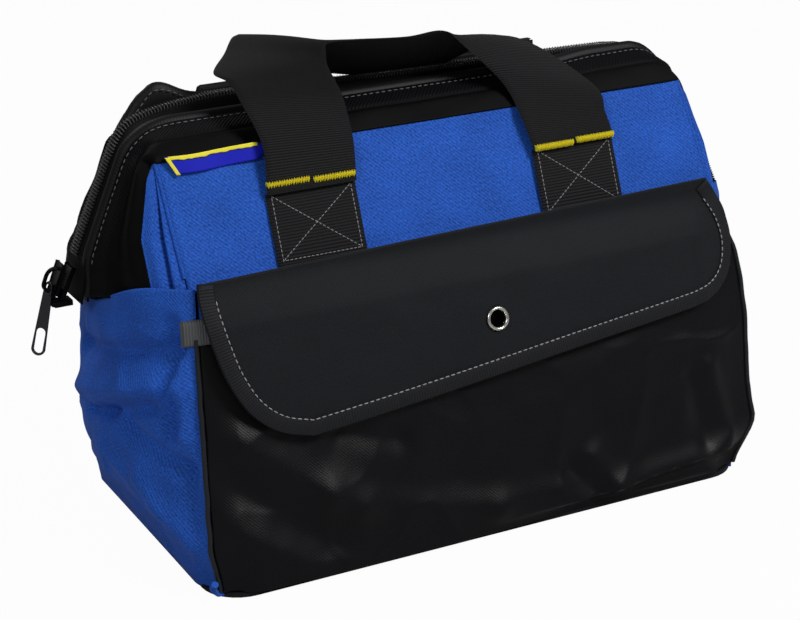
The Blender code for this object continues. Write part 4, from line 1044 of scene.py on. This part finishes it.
# Along the loop: its outer selvage and its inner one, each across, up and inward, and the webbing's crown.
# All are shares of PATCH_X and LOOP_HEIGHT.
LOOP_SHARES = (
    (-1.323, 0, 0, -0.677, 0, 0, 0),
    (-1.31, 0.356, -0.034, -0.66, 0.317, -0.014, 0),
    (-1.4, 0.694, -0.003, -0.68, 0.603, -0.006, 0.01),
    (-1.445, 0.84, 0.045, -0.715, 0.735, -0.007, 0.01),
    (-1.51, 0.925, 0.115, -0.755, 0.857, -0.007, 0.01),
    (-1.375, 1.055, 0.232, -0.755, 0.945, -0.013, 0.01),
    (-1.24, 1.18, 0.35, -0.745, 1.01, -0.021, 0.02),
    (-1.09, 1.09, 0.44, -0.66, 1.02, -0.03, 0.01),
    (-0.87, 0.93, 0.585, -0.51, 1.01, -0.04, 0.01),
    (-0.256, 0.77, 0.626, -0.154, 0.982, -0.045, 0.01),
    (0.32, 0.762, 0.622, 0.103, 0.99, -0.045, 0.01),
    (0.85, 0.885, 0.443, 0.26, 0.87, 0.01, 0.03),
    (1.235, 0.442, 0.05, 0.54, 0.55, 0.063, 0.02),
    (1.29, 0.19, 0.006, 0.622, 0.269, 0.012, 0),
    (1.323, 0, 0, 0.677, 0, 0, 0),
)


def webbing_strip(edges, length):
    """Webbing through pairs of selvages and a crown: a flat tube with soft edges."""
    last = len(edges) - 1

    def place(u, v):
        n = round(v * last)
        outer, inner, crown = edges[n]
        before = edges[max(n - 1, 0)]
        after = edges[min(n + 1, last)]
        run = (after[0] + after[1]) - (before[0] + before[1])
        face = (inner - outer).cross(run).normalized()
        share, sign = (u * 2, 1) if u * 2 <= 1 else (2 - u * 2, -1)
        thick = WEBBING / 2 * sqrt(min(1, min(share, 1 - share) / 0.03))
        return outer.lerp(inner, share) + face * (crown * sin(pi * share) + sign * thick)

    shape = skin((52, last), (0.1008, length), place, welded=True)
    bmesh.ops.recalc_face_normals(shape, faces=shape.faces)
    return shape


def hang_loop(side, name, axis, turn, tilt):
    """Hangs a handle's loop on its axis, leant back from upright by a turn."""
    rise_way = Vector((0, sin(turn), cos(turn)))
    in_way = Vector((0, cos(turn), -sin(turn))) * -side

    def selvage(across, rise, inward):
        rest = rise_way * (rise * LOOP_HEIGHT) + in_way * (inward * tilt * LOOP_HEIGHT)
        return axis + (Vector((across * PATCH_X, 0, 0)) + rest)

    controls = [[selvage(*row[:3]), selvage(*row[3:6]), -side * row[6] * LOOP_HEIGHT] for row in LOOP_SHARES]
    shape = webbing_strip(smooth_run(controls, 12), 0.4)
    set_up(shape, f"{name} handle loop", webbing, f"{name}_handle", [f"{name}_handle"])


hang_loop(-1, "front", Vector((0, -TACK_DEPTH, TACK_HEIGHT)), radians(17), 1)
hang_loop(1, "back", Vector((0, 0.0401, 0.2305)), radians(90 + 42), 0.45)

stitch_thread = Finish("light grey thread", "black_cloth", (0.26, 0.26, 0.27), 0.6)
yellow_thread = Finish("yellow thread", "label_cloth", (0.88, 0.78, 0.05), 0.6, shine=0.2)
BOX_HALF = 0.0222
BOX_LOW = 0.1612
BOX_HIGH = 0.1922
BOX_STITCH = (0.0024, 0.00095, 0.00024)
for side, name in HALVES:
    body = f"{name}_mouth"
    for end, end_name in ENDS:
        tack_line = TACK_HEIGHT + (0.0036 if end < 0 else 0.0004)
        line = [(panel_depth(h) + PATCH_PROUD, h) for h in (0.158, 0.17, 0.182, TACK_HEIGHT - 0.0006)]
        if side > 0:
            line += [(panel_depth(PANEL_TOP[1]) + 0.0016, PANEL_TOP[1]), (0.038, 0.2302)]
        edges = []
        for depth, height in line:
            middle = Vector((end * PATCH_X, side * depth, height))
            half = Vector((0.0252, 0, 0))
            edges.append([middle - half, middle + half, 0.0])
        shape = webbing_strip(smooth_run(edges, 6), 0.036)
        set_up(shape, f"{name} {end_name} handle end", webbing, body, [f"{name}_{end_name}_patch"])

        face = Vector((0, side * 0.93, 0.36))

        def on_patch(across, height):
            return Vector((end * PATCH_X + across, side * (panel_depth(height) + 0.00225), height)), face

        corners = [(BOX_HALF, BOX_HIGH), (BOX_HALF, BOX_LOW), (-BOX_HALF, BOX_LOW), (-BOX_HALF, BOX_HIGH)]
        spots = []
        for route in (corners + corners[1:2], [corners[2], corners[0]]):
            spots += sew([on_patch(*spot) for spot in route], *BOX_STITCH)
        set_up(ovals(spots), f"{name} {end_name} box stitches", stitch_thread, body)

        spots = []
        for part in (-1, 1):
            for n in range(34):
                across = part * 0.0128 + mix(-0.0113, 0.0113, n / 33)
                slant = Vector((0.00035 if n % 2 else -0.00035, side * -0.0006, 0.00175))
                rise = tack_line + part * end * 0.0004 + 0.0002 * sin(n * 2.1)
                centre = on_patch(across, rise)[0] + face * 0.0022
                spots.append((centre, Vector((0.00052, 0, 0)), face * 0.0024, slant))
        set_up(ovals(spots), f"{name} {end_name} bar tacks", yellow_thread, body)


# Label. A plain blue satin tab, folded with a yellow edge, is sewn under the black band at the left end of
# the front panel. It narrows to a rounded end, and nothing is printed or woven on it.
label_satin = Finish("blue label satin", "label_cloth", (0.01, 0.014, 0.46), 0.5, shine=0.2)
place, length, _ = label_satin.weave_map()
label_satin.relief(length.wave(0.0006) * 0.5 + label_satin.grain(place, 1500) * 0.5, 0.00005)
yellow_satin = Finish("yellow label satin", "label_cloth", (0.86, 0.76, 0.05), 0.5, shine=0.2)


def label_point(u, v, proud):
    """A place on the label: u from its left end to its rounded right end, v from its lower edge up."""
    x = mix(-0.1525 + 0.0049 * (1 - v), -0.0985, u)
    shrink = sqrt(max(1 - ((u - 0.86) / 0.14) ** 2, 0)) if u > 0.86 else 1
    width = mix(0.009, 0.0084, u) * max(shrink, 0.12)
    top = 0.2186 - (1 - shrink) * 0.003 - 0.0005 * sin(u * 5)
    height = top - width * (1 - v)
    return Vector((x, -panel_depth(height) - proud - 0.0005 * sin(u * 9) - 0.0014 * v, height))


def label_face(u, v):
    return label_point(u, v, 0.0017)


def label_upper_edge(u, v):
    low = 0.8 - 0.09 * noise.noise(Vector((u * 14, 0.3, 0.8)))
    return label_point(mix(0.03, 0.92, u), mix(low, 1.03, v), 0.0023)


def label_end_edge(u, v):
    return label_point(mix(-0.005, 0.035, u), mix(-0.04, 0.98, v), 0.0025)


set_up(skin((50, 12), (0.046, 0.011), label_face), "label", label_satin, "front_mouth", ["label_tab"], 0.0009)
shape = skin((46, 4), (0.043, 0.002), label_upper_edge)
set_up(shape, "label upper edge", yellow_satin, "front_mouth", wall=0.0005)
shape = skin((6, 12), (0.004, 0.011), label_end_edge)
set_up(shape, "label end edge", yellow_satin, "front_mouth", wall=0.0005)


# Flap. Heavy black cloth that hangs over the pocket from a seam at the fold line, with rounded lower corners.
# A ribbed tape is folded over its free edge and stitched, and a nickel eyelet sits in its middle.
flap_cloth = woven(
    "black flap cloth", "black_cloth", (0.0068, 0.0078, 0.01), 0.7, 0.0009, 0.00007, 0.3,
    shine=0.15, sheen=0.03,
)
FLAP_TOP = 0.1605
FLAP_LEFT = ((-151, 160.0), (-151.5, 146), (-149.0, 130), (-144, 112), (-135, 95.5), (-121, 84), (-103, 78.5))
FLAP_RIGHT = ((151.5, 167), (157.5, 158.5), (164, 146), (166.5, 131), (162, 115.5), (151, 106), (134, 101.5))
EYELET = (0.0082, 0.118)
EYELET_HOLE = 0.0048
FLAP_CLOTH_SHARE = 0.9945
FLAP_SEAM_INSET = 0.0086


def flap_depth(x, height):
    """The outer face of the flap, which lies on the pocket and stands off a little at its lower edge."""
    near = min(abs(x), 0.136)
    over = pocket_depth(near, min(height, POCKET_TOP)) + 0.0056
    over += 0.0016 * sin(pi * min(max((height - 0.075) / 0.08, 0), 1)) * (1 - (x / 0.18) ** 2)
    beyond = max(abs(x) - 0.14, 0)
    over -= beyond * (0.32 if x > 0 else 0.1)
    share = ease((FLAP_TOP - height) / (FLAP_TOP - POCKET_TOP + 0.004))
    return mix(0.0682, over, share)


def flap_at(x, height):
    return Vector((x, -flap_depth(x, height), height))


left_run = drawn_run(FLAP_LEFT, 8)
right_run = drawn_run(FLAP_RIGHT, 8)
FLAP_ROWS = len(left_run) - 1
BOTTOM_DIP = 0.0004


def flap_row(u, v):
    """A place in the flap's cut, inside its edge line: u across, v from the lower edge up."""
    n = round((1 - v) * FLAP_ROWS)
    lx, lz = left_run[n]
    rx, rz = right_run[n]
    dip = BOTTOM_DIP * sin(2 * pi * u) * ((1 - v) ** 3)
    return mix(lx, rx, u), mix(lz, rz, u) - dip


def flap_place(u, v):
    x, height = flap_row(u, v)
    point = flap_at(x * FLAP_CLOTH_SHARE, height)
    point.y -= rumple(point, 0.0012, 0.0002) * min(1, v * 5, (1 - v) * 3, u * 12, (1 - u) * 12)
    return point


shape = skin((150, FLAP_ROWS), (0.32, 0.09), flap_place)
eye = Vector((EYELET[0], 0, EYELET[1]))
gone = []
for face in shape.faces:
    middle = face.calc_center_median()
    if hypot(middle.x - eye.x, middle.z - eye.z) < 0.0044:
        gone.append(face)
bmesh.ops.delete(shape, geom=gone, context="FACES")
for vert in shape.verts:
    away = Vector((vert.co.x - eye.x, 0, vert.co.z - eye.z))
    if vert.is_boundary and away.length < 0.009:
        rim = eye + away.normalized() * EYELET_HOLE
        vert.co = flap_at(rim.x, rim.z)
flap_piece = set_up(shape, "flap sheet", flap_cloth, "flap", ["flap"], 0.0016)

edge_line = left_run + [flap_row(n / 40, 0) for n in range(1, 40)] + right_run[::-1]
rim, rim_length = even_line(edge_line, 0.0025)


def inward(n, offset):
    """A place inside the flap's edge at a station along it."""
    ax, az = rim[max(n - 2, 0)]
    bx, bz = rim[min(n + 2, len(rim) - 1)]
    run = hypot(bx - ax, bz - az)
    return rim[n][0] - (bz - az) / run * offset, rim[n][1] + (bx - ax) / run * offset


RIM_PROFILE = ((0.004, -0.0022), (0.0006, -0.0021), (0.0, -0.0008), (0.0006, 0.0006), (0.0022, 0.0009),
               (0.005, 0.0009), (0.0078, 0.0009), (0.0086, 0.0006), (0.009, 0.0001))


def rim_place(u, v):
    n = round(u * (len(rim) - 1))
    offset, proud = RIM_PROFILE[round(v * (len(RIM_PROFILE) - 1))]
    x, height = inward(n, offset)
    point = flap_at(x, height)
    point.y -= proud
    return point


edge_tape = ribbed(
    "black edge tape", "black_webbing", (0.0105, 0.0112, 0.0132), 0.6, 0.0015, 0.00018, 0.4, shine=0.15,
)
shape = skin((len(rim) - 1, len(RIM_PROFILE) - 1), (rim_length, 0.015), rim_place)
tape_piece = set_up(shape, "flap tape", edge_tape, "flap", ["flap_binding"], 0.0006)
line = []
for n in range(3, len(rim) - 3):
    x, height = inward(n, FLAP_SEAM_INSET)
    place = flap_at(x, height)
    place.y -= 0.0011
    line.append((place, Vector((0, -0.97, 0.24))))
thread_piece = set_up(ovals(sew(line, 0.0034, 0.00125, 0.00036)), "flap stitches", stitch_thread, "flap")

nickel = Finish("nickel", "bright_metal", (0.72, 0.71, 0.66), 0.26, 1.0)
EYELET_PROFILE = (
    (0.0045, -0.0018), (0.0045, 0.0), (0.0048, 0.0008), (0.0054, 0.0012), (0.0061, 0.001), (0.0067, 0.0002),
)
seat = flap_at(*EYELET)
up = (flap_at(EYELET[0], EYELET[1] + 0.006) - seat).normalized()
out = up.cross(Vector((-1, 0, 0))).normalized()


def eyelet_place(u, v):
    radius, proud = EYELET_PROFILE[round(v * (len(EYELET_PROFILE) - 1))]
    turn = 2 * pi * u
    return seat + Vector((radius * cos(turn), 0, 0)) + up * (radius * sin(turn)) + out * (proud + 0.0004)


shape = skin((48, len(EYELET_PROFILE) - 1), (0.04, 0.006), eyelet_place)
bmesh.ops.remove_doubles(shape, verts=shape.verts, dist=0.00001)
bmesh.ops.recalc_face_normals(shape, faces=shape.faces)
facing = sum((face.normal.dot(out) * face.calc_area() for face in shape.faces))
if facing < 0:
    bmesh.ops.reverse_faces(shape, faces=shape.faces)
ring_piece = set_up(shape, "eyelet", nickel, "flap", ["flap_eyelet"], 0.0003, sharp=70)


# Slider and pull. A gunmetal die-cast slider closes the zip from below. Its bail carries a flat pull with a
# round eye and a long slot, which hangs down beside the left end and has turned to face the front.
gunmetal = Finish("gunmetal", "dark_metal", (0.0065, 0.0068, 0.008), 0.42, 1.0)
gunmetal.relief(gunmetal.grain(add_node(gunmetal.tree, "TexCoord", output=3), 1400), 0.00003)
SLIDER_REST = -0.0079
SLIDER_HALF = 0.0086


def bar(shape, low, high, half_width, waist):
    """A bevelled plate beside the zip's leg, between two places along it and two heights proud of it."""
    def corner(x, y, z):
        rise = high[0] if z > 0 else low[0]
        width = half_width * (waist if z < 0 else 1)
        return leg_point(-1, rise, width * y, high[1] if x > 0 else low[1])

    edges = list({edge for vert in block(shape, corner) for edge in vert.link_edges})
    bmesh.ops.bevel(shape, geom=edges, offset=0.0005, segments=2, profile=0.5, affect="EDGES", material=-1)


shape = bmesh.new()
foot = SLIDER_REST - SLIDER_HALF
head = SLIDER_REST + SLIDER_HALF
bar(shape, (foot, 0.0019), (head, 0.0033), 0.0054, 0.8)
bar(shape, (foot, -0.0033), (head, -0.0019), 0.0054, 0.8)
for sign in (-1, 1):
    def flange_corner(x, y, z):
        rise = SLIDER_REST + (0.0072 if z > 0 else -0.007)
        return leg_point(-1, rise, sign * (0.0056 if y * sign > 0 else 0.0047), 0.0026 if x > 0 else 0.0011)

    block(shape, flange_corner)
bar(shape, (foot + 0.0005, -0.002), (foot + 0.004, 0.002), 0.0004, 1)
BAIL_PATH = ((-0.0062, 0.0026), (-0.0064, 0.0058), (-0.005, 0.0078), (-0.002, 0.0082), (0.002, 0.008),
             (0.0048, 0.0062), (0.006, 0.0026))
bail_run = smooth_run([[SLIDER_REST + rise, proud] for rise, proud in BAIL_PATH], 5)
path = [(leg_point(-1, rise, 0, proud), Vector((0, 1, 0))) for rise, proud in bail_run]
bail_shape = rope(path, 0.001, 10)
for vert in bail_shape.verts:
    vert.co.y *= 1.5
bail = as_mesh(bail_shape, "bail")
shape.from_mesh(bail)
bpy.data.meshes.remove(bail)
bmesh.ops.recalc_face_normals(shape, faces=shape.faces)
set_up(shape, "slider casting", gunmetal, "slider", ["slider_body"], sharp=35)

PULL_HANG = radians(14.5)
PULL_THICKNESS = 0.0014
eye = leg_point(-1, SLIDER_REST - 0.00355, 0, 0.0052)
hang = Vector((-sin(PULL_HANG), 0, -cos(PULL_HANG)))
pull_side = Vector((0.78, -0.62, 0))
pull_side = (pull_side - hang * pull_side.dot(hang)).normalized()
outward = pull_side.cross(hang)


def pull_ring(shape, middle, width, length, count, taper=1.0):
    """A round-ended outline in the pull's plane, which has turned on the bail to face the front."""
    ring = bmesh.ops.create_circle(shape, segments=count, radius=1, cap_ends=False)["verts"]
    for vert in ring:
        sign = 1 if vert.co.y > 0 else -1
        half = width / 2 * (taper if sign < 0 else 1)
        across = vert.co.x * half
        down = middle + sign * (length / 2 - width / 2) + vert.co.y * width / 2
        vert.co = eye + pull_side * across + hang * down
    return list({edge for vert in ring for edge in vert.link_edges})


shape = bmesh.new()
edges = pull_ring(shape, 0.01805, 0.0076, 0.0399, 40, 0.6)
edges += pull_ring(shape, 0.0019, 0.0028, 0.0046, 20)
edges += pull_ring(shape, 0.03, 0.0051, 0.0135, 24)
bmesh.ops.triangle_fill(shape, use_beauty=True, edges=edges)
made = bmesh.ops.extrude_face_region(shape, geom=shape.faces[:])["geom"]
moved = [item for item in made if isinstance(item, bmesh.types.BMVert)]
bmesh.ops.translate(shape, verts=moved, vec=outward * PULL_THICKNESS)
for vert in shape.verts:
    vert.co -= outward * (PULL_THICKNESS / 2)
bmesh.ops.recalc_face_normals(shape, faces=shape.faces)
pull_finish = Finish("dark pull metal", "dark_metal", (0.055, 0.056, 0.06), 0.4, 1.0)
pull = set_up(shape, "pull plate", pull_finish, "pull", ["zip_pull"], sharp=30)
rounding = pull.modifiers.new("Rounding", "BEVEL")
rounding.width = 0.0003
rounding.segments = 2
rounding.limit_method = "ANGLE"
rounding.angle_limit = radians(40)


# Studio. A pale floor that shows white to the camera and keeps a faint shadow, a soft lamp high at the right
# front, a weak one from the left and one behind.
def lamp(name, place, size, power):
    data = bpy.data.lights.new(name, "AREA")
    data.size = size
    data.energy = power
    made = add_object(name, data)
    made.location = place
    made.rotation_euler = (Vector((0, 0, 0.1)) - made.location).to_track_quat("-Z", "Y").to_euler()


lamp("key", (1.0, -1.5, 1.9), 0.8, 46)
lamp("fill", (-1.7, -1.2, 1.5), 0.8, 13)
lamp("back", (-0.5, 1.6, 1.9), 1.2, 12)

floor_finish = Finish("pale floor", "", (0.45, 0.45, 0.45), 0.9)
tree = floor_finish.tree
seen = add_node(tree, "LightPath")
direct = seen + seen.beside("Is Transmission Ray")
glow = add_node(tree, "Emission", {"Color": (1, 1, 1, 1), "Strength": 1.0})
share = direct.reckon("MINIMUM", direct, 1.0) * 0.97
blend = add_node(tree, "MixShader", {0: share, 1: Signal(tree, floor_finish.shader.outputs[0]), 2: glow})
feed(tree, tree.nodes["Material Output"].inputs[0], blend)
shape = bmesh.new()
bmesh.ops.create_grid(shape, x_segments=1, y_segments=1, size=6)
floor = add_object("floor", as_mesh(shape, "floor"))
floor.data.materials.append(floor_finish.material)

world = bpy.data.worlds.new("studio")
bpy.context.scene.world = world
world.use_nodes = True
tree = world.node_tree
ambient = tree.nodes["Background"]
ambient.inputs["Color"].default_value = (1, 1, 1, 1)
ambient.inputs["Strength"].default_value = 0.16
white = add_node(tree, "Background", {"Color": (1, 1, 1, 1), "Strength": 1.0})
seen = add_node(tree, "LightPath")
blend = add_node(tree, "MixShader", {0: seen, 1: Signal(tree, ambient.outputs[0]), 2: white})
feed(tree, tree.nodes["World Output"].inputs[0], blend)

camera = add_object("camera", bpy.data.cameras.new("camera"))
camera.data.lens = 93.65
azimuth = radians(-26.5649)
elevation = radians(20.5505)
roll = radians(-1.4772)
distance = 1.1614
target = Vector((-0.0068, -0.0027, 0.0985))
away = Vector((sin(azimuth) * cos(elevation), -cos(azimuth) * cos(elevation), sin(elevation)))
camera.location = target + away * distance
turn = (-away).to_track_quat("-Z", "Y").to_matrix() @ Matrix.Rotation(roll, 3, "Z")
camera.rotation_euler = turn.to_euler()
bpy.context.scene.camera = camera
bpy.context.scene.view_settings.view_transform = "Standard"
